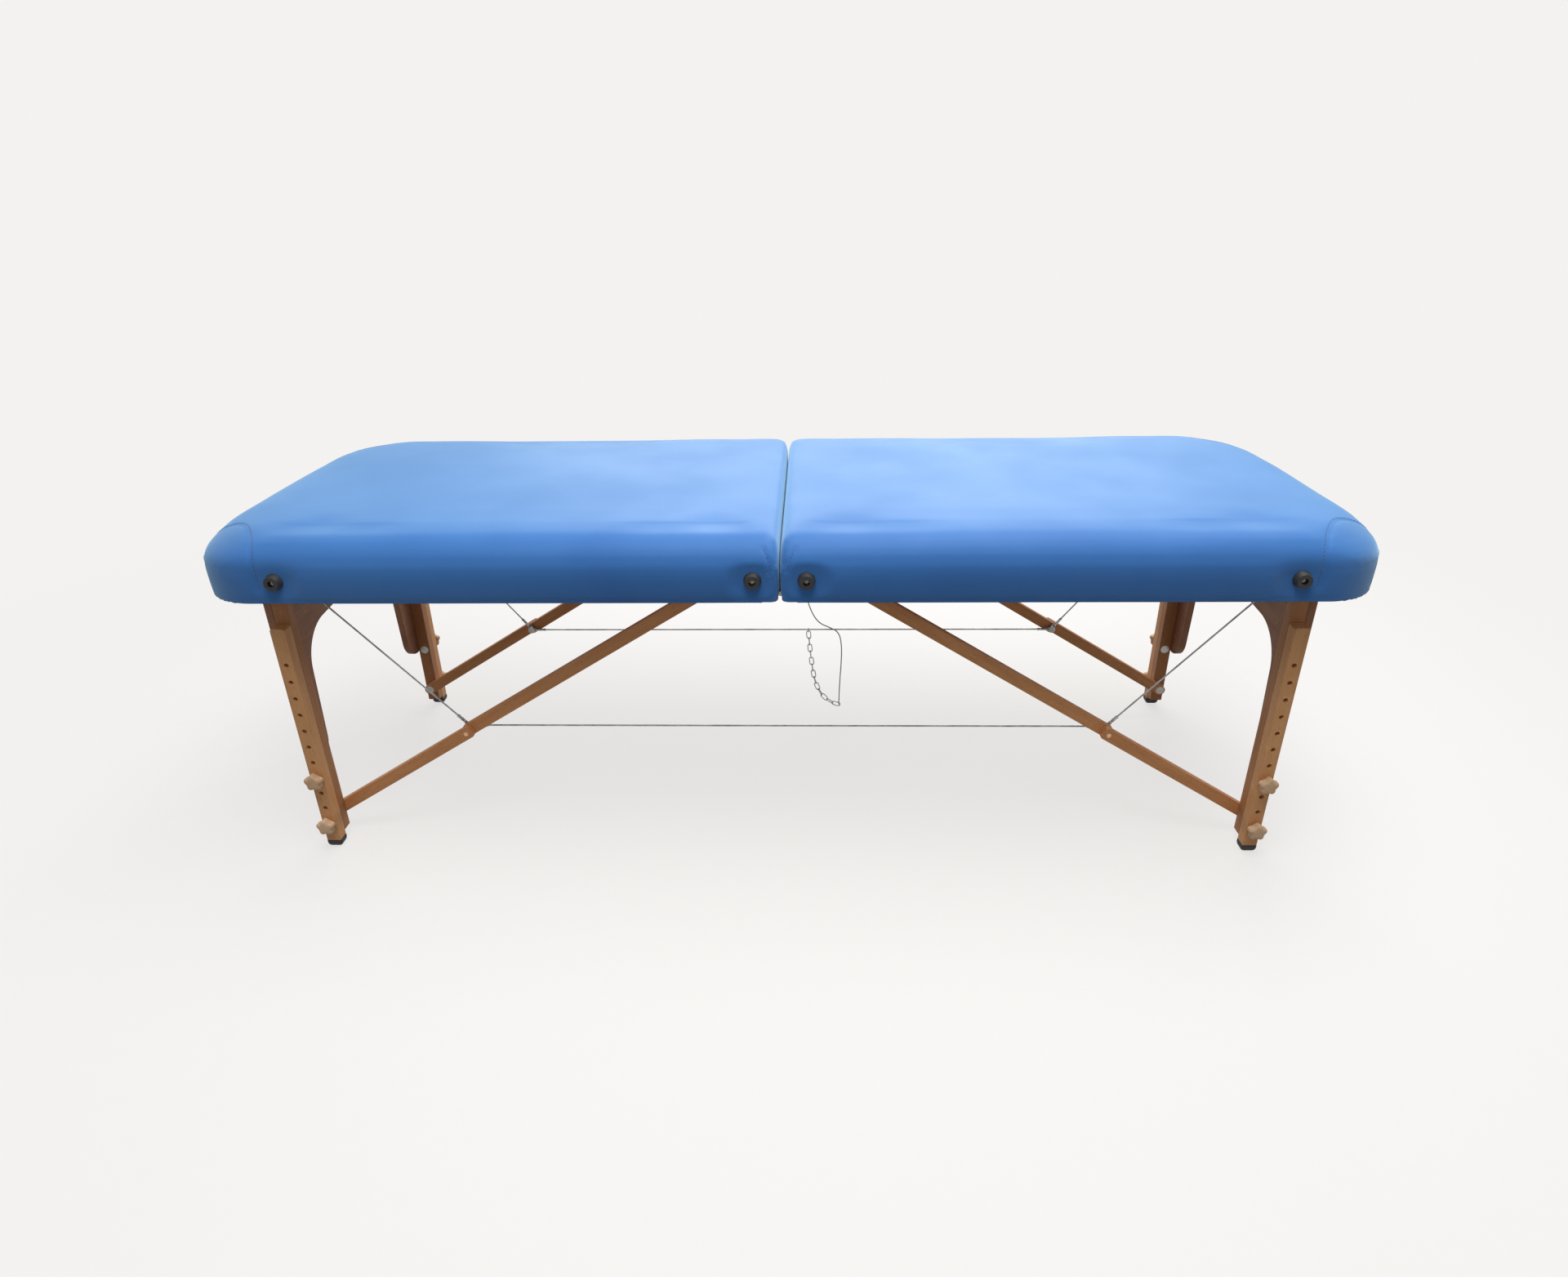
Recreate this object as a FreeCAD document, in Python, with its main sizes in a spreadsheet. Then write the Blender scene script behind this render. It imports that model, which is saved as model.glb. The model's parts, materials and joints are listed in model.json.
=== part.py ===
# Folding massage table: two padded halves on wooden frames, folding leg pairs, elbow braces and stay cables.
# Millimetres. +X runs along the table, +Y points to the side with the handles, +Z points up.
# The origin is on the floor under the middle of the table. Pieces are drawn once, for the right half and
# the handle side, and mirrored to the other half and side.
import FreeCAD, Part
import Sketcher
import math
import os
import re

DIMENSIONS = [
    ("table_length", 1850, "cover, end to end"),
    ("table_width", 650, "cover, side to side"),
    ("frame_height", 508, "floor to the underside of the rails, legs at their lowest setting"),
    ("rail_depth", 54, "height of the rails"),
    ("rail_thick", 18, "thickness of the rails"),
    ("deck_thick", 5, "plywood under the foam"),
    ("foam_thick", 37.5, "foam on the deck, at the crown"),
    ("cover_thick", 1.5, "backed vinyl"),
    ("skin_gap", 0.3, "cover to the rails, the deck and the foam"),
    ("seam_gap", 1, "each cover to the middle of the table"),
    ("corner_radius", 100, "cover corners at the ends, seen from above"),
    ("seam_radius", 14, "cover corners at the middle, seen from above"),
    ("bend_tail", 15, "straight ends of the bent end rail"),
    ("edge_roll", 34, "rounding of the padded edge"),
    ("seam_roll", 12, "rounding of the padded edge at the middle"),
    ("crown", 5, "rise of the pad's middle over its edge"),
    ("crown_reach", 110, "width of the band where the pad rises to its crown"),
    ("hinge_drop", 4.5, "hinge pin below the rails"),
    ("hinge_inset", 45, "piano hinge to the sides of the table"),
    ("hinge_length", "=table_width - 2 * hinge_inset", "piano hinge"),
    ("knuckle_count", 9, "knuckles of both leaves together"),
    ("knuckle_radius", 4, "outside of a knuckle"),
    ("knuckle_gap", 0.4, "between neighbouring knuckles"),
    ("pin_radius", 2, "hinge pin"),
    ("pin_play", 0.05, "running clearance of pins and pivot bolts"),
    ("leaf_thick", 1.5, "hinge leaf"),
    ("leaf_width", 20, "hinge leaf, from the pin"),
    ("leaf_notch", 5, "leaf's edge to the pin beside the other leaf's knuckles"),
    ("leg_inset", 99, "table's end to the middle of a leg, along the table"),
    ("leg_spread", "=table_length / 2 - leg_inset", "middle of the table to the middle of a leg"),
    ("post_inset", 91, "table's side to the inner face of a post, across the table"),
    ("post_face", "=table_width / 2 - post_inset", "middle of the table to the inner face of a post"),
    ("post_width", 25, "post and extension, along the table"),
    ("post_depth", 20, "post, across the table"),
    ("post_bottom", 22, "floor to the post"),
    ("post_round", 12, "rounding of the post's top"),
    ("pivot_rise", 26, "leg and brace pivots above the underside of the rails"),
    ("fold_lift", 12.5, "elbow above the leg's pivots when the leg is folded"),
    ("slide_gap", 0.2, "post to extension"),
    ("extension_depth", 22, "extension, across the table"),
    ("extension_top", 441, "floor to the top of the extension"),
    ("extension_chamfer", 3, "top edges of the extension"),
    ("hole_low", 54, "floor to the lowest hole"),
    ("hole_pitch", 32, "between the holes of an extension"),
    ("hole_count", 11, "holes of an extension"),
    ("bolt_step", 3, "hole pitches between the two bolts of a leg"),
    ("bolt_radius", 4, "leg bolts and pivot bolts"),
    ("head_radius", 9, "flat heads of the leg bolts"),
    ("head_thick", 3, "flat heads of the leg bolts"),
    ("head_play", 0.4, "around and over a sunk head"),
    ("head_seat", 0.2, "under a sunk head"),
    ("foot_height", 14, "rubber foot"),
    ("foot_lip", 1, "foot beyond the extension on each side"),
    ("foot_round", 3, "lower edges of the foot"),
    ("knob_core", 11, "radius of a star knob between its lobes"),
    ("lobe_radius", 5.5, "lobe of a star knob"),
    ("lobe_count", 5, "lobes of a star knob"),
    ("knob_thick", 15, "star part of a knob"),
    ("knob_hub", 8, "radius of a knob's collar"),
    ("hub_thick", 4, "collar of a knob"),
    ("knob_cap", 4, "wood of a knob beyond its bolt"),
    ("bolt_end_play", 0.5, "bolt's end to the bottom of its hole in the knob"),
    ("panel_thick", 13, "arched end panel"),
    ("panel_play", 0.3, "top of the end panel under the deck, its stop"),
    ("shoulder_width", 76, "end panel beside the arch at its shoulder"),
    ("arch_half", "=post_face + post_depth - shoulder_width", "half the width of the arch at its shoulder"),
    ("arch_top", 400, "floor to the top of the arch"),
    ("arch_shoulder", 387, "floor to the shoulder of the arch before rounding"),
    ("arch_radius", 78, "rounding of the shoulder"),
    ("arm_width", 62, "foot of an end panel's arm before rounding"),
    ("arm_inner", "=post_face + post_depth - arm_width", "middle of the table to the foot of an arm"),
    ("arm_bottom", 146, "floor to the arms of the end panel"),
    ("arm_round", 42, "rounding of an arm's foot"),
    ("brace_height", 22, "braces"),
    ("brace_thick", 12, "braces, across the table"),
    ("brace_round", 10.5, "ends of the braces at their pivots"),
    ("elbow_reach", 12, "lower braces beyond the elbow rivet"),
    ("elbow_round", 6, "corners of the lower braces at the elbow"),
    ("layer_gap", 0.5, "between posts, braces and brackets, across the table"),
    ("anchor_spread", 45, "middle of the table to the upper braces' pivots"),
    ("bracket_thick", 3, "steel brackets"),
    ("bracket_width", 23, "steel brackets"),
    ("bracket_flange", 34, "bracket's flange under the deck"),
    ("bracket_round", 11.4, "rounding of a bracket's tongue"),
    ("spool_length", 9.5, "free shank of a pivot or elbow rivet that holds the cables"),
    ("spool_head", 7, "radius of the small heads"),
    ("spool_head_thick", 2, "small heads"),
    ("cable_radius", 1.6, "steel cable"),
    ("wire_sides", 6, "facets round a cable, wire or link"),
    ("ring_steps", 12, "facets along a ring or loop"),
    ("eye_play", 0.4, "cable's end loop round its shank"),
    ("ferrule_gap", 0.5, "crimped sleeve to the end loop"),
    ("cable_gap", 1, "crimped sleeves to the braces"),
    ("ferrule_radius", 3, "crimped sleeve"),
    ("ferrule_length", 24, "crimped sleeve"),
    ("bumper_radius", 14, "rubber bumper at its base"),
    ("bumper_tip", 11, "rubber bumper at its tip"),
    ("bumper_height", 12, "rubber bumper"),
    ("bumper_recess", 5, "radius of the screw recess"),
    ("bumper_recess_depth", 7, "screw recess"),
    ("bumper_rise", 37, "bumpers above the underside of the rails"),
    ("bumper_inner", 41, "middle of the table to the inner bumpers"),
    ("bumper_inset", 148, "table's ends to the outer bumpers"),
    ("bumper_outer", "=table_length / 2 - bumper_inset", "middle of the table to the outer bumpers"),
    ("seat_gap", 0.3, "pieces seated on the cover"),
    ("handle_spread", 440, "middle of the table to the middle of a handle"),
    ("handle_half", 85, "half the length of a handle"),
    ("handle_ear", 23, "flat end of a handle"),
    ("handle_ramp", 22, "rising part of a handle"),
    ("handle_bow", 12, "handle's outer face to the cover"),
    ("handle_thick", 3, "webbing of a handle"),
    ("handle_width", 26, "webbing of a handle"),
    ("handle_rise", 37, "middle of a handle above the underside of the rails"),
    ("wire_radius", 1.2, "hanging wire"),
    ("ring_radius", 4.4, "end rings of the chain, to the middle of their wire"),
    ("link_wire", 1.1, "radius of the chain's wire"),
    ("link_pitch", 17, "between the chain's links"),
    ("link_inner", 3.2, "half the inner width of a link"),
    ("bend_share", 0.45, "share of a wire's run that the bend beside it takes"),
    ("overcut", 1, "cutting tools beyond the faces that they cut, and laps of fused pieces"),
]

doc = FreeCAD.newDocument("massage_table")
sheet = doc.addObject("Spreadsheet::Sheet", "dims")
for row, (alias, number, meaning) in enumerate(DIMENSIONS, start=1):
    sheet.set(f"A{row}", alias)
    sheet.set(f"B{row}", str(number))
    sheet.setAlias(f"B{row}", alias)
    sheet.set(f"C{row}", meaning)
doc.recompute()
ALIASES = {alias for alias, number, meaning in DIMENSIONS}

# Places that follow from the sheet, written as formulas of its cells
HALF_LENGTH = "(table_length / 2)"
HALF_WIDTH = "(table_width / 2)"
SKIN = "(cover_thick + skin_gap)"
RAIL_TOP = "(frame_height + rail_depth)"
DECK_TOP = f"({RAIL_TOP} + deck_thick)"
PAD_TOP = f"({DECK_TOP} + foam_thick + {SKIN})"
FRAME_END = f"({HALF_LENGTH} - {SKIN})"
FRAME_SIDE = f"({HALF_WIDTH} - {SKIN})"
FRAME_SEAM = f"(seam_gap + {SKIN})"
FRAME_CORNER = f"(corner_radius - {SKIN})"
SEAM_CORNER = f"(seam_radius - {SKIN})"
BEND_START = f"({FRAME_END} - {FRAME_CORNER} - bend_tail)"
HINGE_Z = "(frame_height - hinge_drop)"
PIVOT_Z = "(frame_height + pivot_rise)"
LEG_INNER = "(leg_spread - post_width / 2)"
LEG_OUTER = "(leg_spread + post_width / 2)"
POST_FAR = "(post_face + post_depth)"
EXTENSION_NEAR = f"({POST_FAR} + slide_gap)"
EXTENSION_FAR = f"({EXTENSION_NEAR} + extension_depth)"
LOWER_FAR = "(post_face - layer_gap)"
LOWER_NEAR = f"({LOWER_FAR} - brace_thick)"
UPPER_FAR = f"({LOWER_NEAR} - layer_gap)"
UPPER_NEAR = f"({UPPER_FAR} - brace_thick)"
BRACKET_FAR = f"({UPPER_NEAR} - layer_gap)"
HIGH_HOLE = "(hole_low + bolt_step * hole_pitch)"
BORE = "(bolt_radius + pin_play)"
SUNK_HEAD = "(head_radius + head_play)"
SUNK_DEPTH = "(head_thick + head_play)"

# The braces are in line when the leg stands. Folded, the elbow lies a little above the leg, on the ellipse
# round the brace pivots whose long axis is the braces' joint length.
LEG_LENGTH = f"({PIVOT_Z} - hole_low)"
PIVOTS_APART = "(leg_spread - anchor_spread)"
SPAN_OPEN = f"sqrt({PIVOTS_APART}^2 + {LEG_LENGTH}^2)"
SPAN_SHUT = f"({PIVOTS_APART} - {LEG_LENGTH})"
SHORT_AXIS_SQUARE = f"(({SPAN_OPEN}^2 - {SPAN_SHUT}^2) / 4)"
FOLDED_REACH = f"({SPAN_SHUT} / 2 + {SPAN_OPEN} / 2 * sqrt(1 - fold_lift^2 / {SHORT_AXIS_SQUARE}))"
UPPER_LENGTH = f"sqrt({FOLDED_REACH}^2 + fold_lift^2)"
LOWER_LENGTH = f"({SPAN_OPEN} - {UPPER_LENGTH})"

X_AXIS = FreeCAD.Vector(1, 0, 0)
Y_AXIS = FreeCAD.Vector(0, 1, 0)
Z_AXIS = FreeCAD.Vector(0, 0, 1)
TURN_TO_Y = FreeCAD.Rotation(X_AXIS, -90)
SAME_WAY = 0.999
SAME_PLACE = 0.01
ROLL_ANGLES = (0, 15, 30, 45, 60, 75)
CROWN_SHARES = (0, 0.35, 0.7, 1)
WIRE_BEND_STEPS = 3
LINK_BEND_STEPS = 4
subparts = {}


def formula(text):
    """The formula with its cell names written as the document knows them."""
    return re.sub(r"[a-z]\w+", lambda m: "dims." + m[0] if m[0] in ALIASES else m[0], str(text))


def value(text):
    """The number that a formula gives."""
    return float(sheet.evalExpression(formula(text)))


def bind(item, **sizes):
    for name, text in sizes.items():
        item.setExpression(name, formula(text))


def put(item, x, y, z):
    """Binds the place of an item to three formulas."""
    for name, text in (("x", x), ("y", y), ("z", z)):
        item.setExpression(f"Placement.Base.{name}", formula(text))


def subpart(item, label):
    """Marks an item as a sub-part: its label names its file."""
    item.Label = label
    subparts[label] = item
    return item


def mirrored(item, name, normal):
    copy = doc.addObject("Part::Mirroring", name)
    copy.Source = item
    copy.Normal = normal
    return copy


def to_left(item, name):
    return mirrored(item, name, X_AXIS)


def to_front(item, name):
    return mirrored(item, name, Y_AXIS)


def group(name, items):
    together = doc.addObject("Part::Compound", name)
    together.Links = items
    return together


def box(name, low, high):
    """A block between two corners given as formulas."""
    block = doc.addObject("Part::Box", name)
    sizes = [f"({b}) - ({a})" for a, b in zip(low, high)]
    bind(block, Length=sizes[0], Width=sizes[1], Height=sizes[2])
    put(block, *low)
    return block


def rod(name, radius, start, length):
    """A cylinder along +Y from its start."""
    cylinder = doc.addObject("Part::Cylinder", name)
    bind(cylinder, Radius=radius, Height=length)
    cylinder.Placement.Rotation = TURN_TO_Y
    put(cylinder, *start)
    return cylinder


def fuse(name, items):
    joined = doc.addObject("Part::MultiFuse", name)
    joined.Shapes = items
    joined.Refine = True
    return joined


def cut(name, base, tool):
    rest = doc.addObject("Part::Cut", name)
    rest.Base = base
    rest.Tool = tool
    return rest


def plane_of(body, role):
    return next(feature for feature in body.Origin.OriginFeatures if feature.Role == role)


def outline(body, name, role, offset, points):
    """A closed sketch on one of the body's planes, each corner held by two formulas."""
    sketch = body.newObject("Sketcher::SketchObject", name)
    sketch.AttachmentSupport = (plane_of(body, role), [""])
    sketch.MapMode = "FlatFace"
    sketch.setExpression("AttachmentOffset.Base.z", formula(offset))
    corners = [FreeCAD.Vector(value(u), value(v), 0) for u, v in points]
    count = len(corners)
    for k in range(count):
        sketch.addGeometry(Part.LineSegment(corners[k], corners[(k + 1) % count]), False)
    for k in range(count):
        sketch.addConstraint(Sketcher.Constraint("Coincident", k, 2, (k + 1) % count, 1))
    for k, (u, v) in enumerate(points):
        hold(sketch, "DistanceX", k, 1, u)
        hold(sketch, "DistanceY", k, 1, v)
    return sketch


def hold(sketch, kind, edge, end, text):
    """Holds a point of a sketch at a formula's distance from the origin, or on the axis where it is zero."""
    distance = value(text)
    if abs(distance) < SAME_PLACE:
        axis = -2 if kind == "DistanceX" else -1
        sketch.addConstraint(Sketcher.Constraint("PointOnObject", edge, end, axis))
        return
    index = sketch.addConstraint(Sketcher.Constraint(kind, -1, 1, edge, end, distance))
    sketch.setExpression(f"Constraints[{index}]", formula(text))


def disc(body, name, role, offset, centre, radius):
    """A circle on one of the body's planes."""
    sketch = body.newObject("Sketcher::SketchObject", name)
    sketch.AttachmentSupport = (plane_of(body, role), [""])
    sketch.MapMode = "FlatFace"
    sketch.setExpression("AttachmentOffset.Base.z", formula(offset))
    middle = FreeCAD.Vector(value(centre[0]), value(centre[1]), 0)
    sketch.addGeometry(Part.Circle(middle, Z_AXIS, value(radius)), False)
    hold(sketch, "DistanceX", 0, 3, centre[0])
    hold(sketch, "DistanceY", 0, 3, centre[1])
    index = sketch.addConstraint(Sketcher.Constraint("Radius", 0, value(radius)))
    sketch.setExpression(f"Constraints[{index}]", formula(radius))
    return sketch


def pad(body, name, sketch, length):
    feature = body.newObject("PartDesign::Pad", name)
    feature.Profile = sketch
    bind(feature, Length=length)
    doc.recompute()
    return feature


def bore(body, name, radius, start, length):
    """A round hole along +Y from its start."""
    hole = body.newObject("PartDesign::SubtractiveCylinder", name)
    bind(hole, Radius=radius, Height=length)
    hole.Placement.Rotation = TURN_TO_Y
    put(hole, *start)
    doc.recompute()
    return hole


def new_body(name):
    body = doc.addObject("PartDesign::Body", name)
    doc.recompute()
    return body


def edges_at(shape, along, **places):
    """Names of the straight edges along an axis whose middle has the given coordinates."""
    names = []
    for number, edge in enumerate(shape.Edges, start=1):
        ends = [vertex.Point for vertex in edge.Vertexes]
        if len(ends) != 2 or abs((ends[1] - ends[0]).normalize() * along) < SAME_WAY:
            continue
        middle = (ends[0] + ends[1]) * 0.5
        if all(abs(getattr(middle, axis) - place) < SAME_PLACE for axis, place in places.items()):
            names.append(f"Edge{number}")
    return names


def round_body(body, name, edges, radius):
    """Rounds edges of a body."""
    feature = body.newObject("PartDesign::Fillet", name)
    feature.Base = (body.Tip if body.Tip != feature else feature.BaseFeature, edges)
    bind(feature, Radius=radius)
    doc.recompute()
    return feature


def round_block(name, block, edges, radius):
    """Rounds edges of a block."""
    doc.recompute()
    rounded = doc.addObject("Part::Fillet", name)
    rounded.Base = block
    size = value(radius)
    rounded.Edges = [(int(edge[4:]), size, size) for edge in edges]
    return rounded


def fixed(name, shape):
    """A sub-part whose form neither sketches nor primitives give: its sizes are read from the sheet."""
    item = doc.addObject("Part::Feature", name)
    item.Shape = shape
    return item


def rounded_outline(near, far, side, near_radius, far_radius, height):
    """A rectangle across the table with rounded corners, as a wire at a height."""
    wire = []
    corners = [(near, -side, near_radius, 180), (far, -side, far_radius, 270),
               (far, side, far_radius, 0), (near, side, near_radius, 90)]
    arcs = []
    for x, y, radius, start in corners:
        centre_x = x + (radius if x == near else -radius)
        centre_y = y + (radius if y < 0 else -radius)
        spots = []
        for angle in (start, start + 45, start + 90):
            turn = math.radians(angle)
            spots.append(FreeCAD.Vector(centre_x + radius * math.cos(turn),
                                        centre_y + radius * math.sin(turn), height))
        arcs.append(spots)
    for k, spots in enumerate(arcs):
        wire.append(Part.Arc(*spots).toShape())
        wire.append(Part.LineSegment(spots[2], arcs[(k + 1) % len(arcs)][0]).toShape())
    return Part.Wire(wire)


def pad_solid(depth, bottom):
    """The padded half's outside, drawn in by a depth: straight sides, a rolled edge and a low crown."""
    near = value("seam_gap")
    far = value(HALF_LENGTH)
    side = value(HALF_WIDTH)
    roll = value("edge_roll") - depth
    seam_share = (value("seam_roll") - depth) / roll
    rim = value(PAD_TOP) - depth - value("crown")
    sections = [(0, bottom)]
    for angle in ROLL_ANGLES:
        turn = math.radians(angle)
        sections.append((roll * (1 - math.cos(turn)), rim - roll + roll * math.sin(turn)))
    for share in CROWN_SHARES:
        rise = value("crown") * math.sin(share * math.pi / 2)
        sections.append((roll + share * value("crown_reach"), rim + rise))
    wires = []
    for inset, height in sections:
        inward = inset + depth
        seam_inset = depth + roll * seam_share * min(inset / roll, 1) + max(inset - roll, 0)
        far_radius = max(value("corner_radius") - inward, value("seam_radius"))
        wires.append(rounded_outline(near + seam_inset, far - inward, side - inward,
                                     value("seam_radius") - depth, far_radius, height))
    return Part.makeLoft(wires, True, True)


def bent_path(spots, arc_steps):
    """Points along straight runs joined by arcs as large as the runs allow."""
    path = [spots[0]]
    for before, here, after in zip(spots, spots[1:], spots[2:]):
        back = before - here
        ahead = after - here
        turn = math.pi - back.getAngle(ahead)
        reach = value("bend_share") * min(back.Length, ahead.Length)
        bend = reach / math.tan(turn / 2)
        back = back.normalize()
        ahead = ahead.normalize()
        centre = here + (back + ahead).normalize() * (bend / math.cos(turn / 2))
        entry = here + back * reach - centre
        leave = here + ahead * reach - centre
        for step in range(arc_steps + 1):
            share = step / arc_steps
            spoke = entry * math.sin((1 - share) * turn) + leave * math.sin(share * turn)
            path.append(centre + spoke * (1 / math.sin(turn)))
    path.append(spots[-1])
    return path


def wire_solid(spots, radius, normal, closed=False):
    """A faceted wire along points of one plane, mitred at each point."""
    sides = int(value("wire_sides"))
    count = len(spots)
    sections = []
    for k, spot in enumerate(spots):
        before = spots[k - 1] if closed or k > 0 else spot * 2 - spots[1]
        after = spots[(k + 1) % count] if closed or k < count - 1 else spot * 2 - spots[-2]
        coming = (spot - before).normalize()
        going = (after - spot).normalize()
        outward = (coming + going).cross(normal).normalize()
        stretch = 1 / math.cos(coming.getAngle(going) / 2)
        corners = []
        for side in range(sides):
            turn = 2 * math.pi * (side + 0.5) / sides
            aside = normal * (radius * math.cos(turn))
            corners.append(spot + aside + outward * (radius * stretch * math.sin(turn)))
        sections.append(Part.makePolygon(corners + corners[:1]))
    faces = []
    pairs = list(zip(sections, sections[1:])) + ([(sections[-1], sections[0])] if closed else [])
    for first, second in pairs:
        for near, far in zip(first.Edges, second.Edges):
            loop = [vertex.Point for vertex in near.Vertexes]
            loop += [vertex.Point for vertex in reversed(far.Vertexes)]
            faces.append(Part.Face(Part.makePolygon(loop + loop[:1])))
    if not closed:
        faces += [Part.Face(sections[0]), Part.Face(sections[-1])]
    shell = Part.makeShell(faces)
    shell.sewShape()
    solid = Part.makeSolid(shell)
    if solid.Volume < 0:
        solid.reverse()
    return solid


def ring_solid(centre, radius, wire, normal):
    """A closed faceted ring round an axis."""
    steps = int(value("ring_steps"))
    aside = normal.cross(Z_AXIS if abs(normal.z) < 0.9 else X_AXIS).normalize()
    upward = normal.cross(aside)
    turns = [2 * math.pi * step / steps for step in range(steps)]
    spots = []
    for turn in turns:
        spots.append(centre + aside * (radius * math.cos(turn)) + upward * (radius * math.sin(turn)))
    return wire_solid(spots, wire, normal, True)


def both_sides(make, kind):
    """A piece of each long side and half, drawn for the right half and the handle side."""
    back = make(f"right_back_{kind}")
    front = to_front(back, f"right_front_{kind}")
    subpart(back, f"right_back_{kind}")
    subpart(front, f"right_front_{kind}")
    subpart(to_left(back, f"left_back_{kind}"), f"left_back_{kind}")
    subpart(to_left(front, f"left_front_{kind}"), f"left_front_{kind}")


def both_halves(item, kind):
    """A piece of each half, drawn for the right half."""
    subpart(item, f"right_{kind}")
    subpart(to_left(item, f"left_{kind}"), f"left_{kind}")


def paired(items, kind):
    """A group of like pieces on both long sides of each half."""
    fronts = [to_front(item, f"{item.Name}_front") for item in items]
    both_halves(group(f"{kind}_group", items + fronts), kind)


# Padded top of a half
def make_cover():
    skin = pad_solid(0, value("frame_height"))
    hollow = pad_solid(value("cover_thick"), value("frame_height") - value("cover_thick"))
    return fixed("cover", skin.cut(hollow))


both_halves(make_cover(), "cover")
both_halves(fixed("foam", pad_solid(value(SKIN), value(DECK_TOP))), "foam")


# Wooden frame of a half
def make_deck():
    block = box("deck_block", (FRAME_SEAM, f"-{FRAME_SIDE}", RAIL_TOP), (FRAME_END, FRAME_SIDE, DECK_TOP))
    doc.recompute()
    corners = edges_at(block.Shape, Z_AXIS, x=value(FRAME_END))
    ends = round_block("deck_ends", block, corners, FRAME_CORNER)
    doc.recompute()
    return round_block("deck", ends, edges_at(ends.Shape, Z_AXIS, x=value(FRAME_SEAM)), SEAM_CORNER)


def make_end_rail():
    """Bent rail that carries the half round its two outer corners."""
    inner_end = f"({FRAME_END} - rail_thick)"
    inner_side = f"({FRAME_SIDE} - rail_thick)"
    inner_corner = f"({FRAME_CORNER} - rail_thick)"
    outside = box("bend_outside", (BEND_START, f"-{FRAME_SIDE}", "frame_height"),
                  (FRAME_END, FRAME_SIDE, RAIL_TOP))
    inside = box("bend_inside", (f"{BEND_START} - overcut", f"-{inner_side}", "frame_height - overcut"),
                 (inner_end, inner_side, f"{RAIL_TOP} + overcut"))
    doc.recompute()
    outer_edges = edges_at(outside.Shape, Z_AXIS, x=value(FRAME_END))
    inner_edges = edges_at(inside.Shape, Z_AXIS, x=value(inner_end))
    return cut("end_rail", round_block("bend_outer", outside, outer_edges, FRAME_CORNER),
               round_block("bend_inner", inside, inner_edges, inner_corner))


def make_side_rail(name):
    block = box(f"{name}_block", (FRAME_SEAM, f"{FRAME_SIDE} - rail_thick", "frame_height"),
                (BEND_START, FRAME_SIDE, RAIL_TOP))
    doc.recompute()
    corner = edges_at(block.Shape, Z_AXIS, x=value(FRAME_SEAM), y=value(FRAME_SIDE))
    return round_block(name, block, corner, SEAM_CORNER)


def make_centre_rail():
    reach = f"({FRAME_SIDE} - rail_thick)"
    return box("centre_rail", (FRAME_SEAM, f"-{reach}", "frame_height"),
               (f"{FRAME_SEAM} + rail_thick", reach, RAIL_TOP))


both_halves(make_deck(), "deck")
both_halves(make_end_rail(), "end_rail")
both_sides(make_side_rail, "rail")
both_halves(make_centre_rail(), "centre_rail")


# Piano hinge between the halves
def make_leaf(name, first):
    """A hinge leaf with every second knuckle, from the first one."""
    width = "(hinge_length / knuckle_count)"
    plate = box(f"{name}_plate", ("leaf_notch", "-hinge_length / 2", "frame_height - leaf_thick"),
                ("leaf_width", "hinge_length / 2", "frame_height"))
    pieces = [plate]
    for k in range(first, int(value("knuckle_count")), 2):
        start = f"({k} * {width} - hinge_length / 2 + knuckle_gap / 2)"
        length = f"({width} - knuckle_gap)"
        pieces.append(rod(f"{name}_knuckle{k}", "knuckle_radius", ("0", start, HINGE_Z), length))
        pieces.append(box(f"{name}_tab{k}", ("0", start, "frame_height - leaf_thick"),
                          ("leaf_notch + overcut", f"{start} + {length}", "frame_height")))
    hole = rod(f"{name}_bore", "pin_radius + pin_play", ("0", "-hinge_length / 2 - overcut", HINGE_Z),
               "hinge_length + 2 * overcut")
    return cut(name, fuse(f"{name}_solid", pieces), hole)


subpart(make_leaf("right_leaf", 0), "right_hinge_leaf")
subpart(to_left(make_leaf("left_leaf_drawn", 1), "left_leaf"), "left_hinge_leaf")
subpart(rod("pin", "pin_radius", ("0", "-hinge_length / 2", HINGE_Z), "hinge_length"), "hinge_pin")


# Rubber bumpers that the folded case stands on, and the handles on its other side
def make_bumper(name, spread):
    body = doc.addObject("Part::Cone", f"{name}_body")
    bind(body, Radius1="bumper_radius", Radius2="bumper_tip", Height="bumper_height")
    body.Placement.Rotation = FreeCAD.Rotation(X_AXIS, 90)
    height = "frame_height + bumper_rise"
    put(body, spread, f"-({HALF_WIDTH} + seat_gap)", height)
    recess = rod(f"{name}_recess", "bumper_recess",
                 (spread, f"-({HALF_WIDTH} + seat_gap + bumper_height)", height), "bumper_recess_depth")
    return cut(name, body, recess)


def make_handle():
    """Webbing handle, bowed away from the cover between its two flat ends."""
    body = new_body("handle")
    seat = f"({HALF_WIDTH} + seat_gap)"
    face = f"({seat} + handle_thick)"
    top = f"({seat} + handle_bow)"
    inside = f"({top} - handle_thick)"
    ear = "(handle_half - handle_ear)"
    crest = f"({ear} - handle_ramp)"
    half = [("handle_half", seat), ("handle_half", face), (ear, face), (crest, top)]
    back = [(crest, inside), (ear, seat)]
    left = [(f"-{u}", v) for u, v in reversed(half)]
    left_back = [(f"-{u}", v) for u, v in reversed(back)]
    loop = half + left + left_back + back
    points = [(f"handle_spread + ({u})", v) for u, v in loop]
    low = "frame_height + handle_rise - handle_width / 2"
    sketch = outline(body, "handle_outline", "XY_Plane", low, points)
    pad(body, "handle_band", sketch, "handle_width")
    return body


both_halves(group("bumpers", [make_bumper("bumper_in", "bumper_inner"),
                              make_bumper("bumper_out", "bumper_outer")]), "bumpers")
both_halves(make_handle(), "handle")


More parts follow.
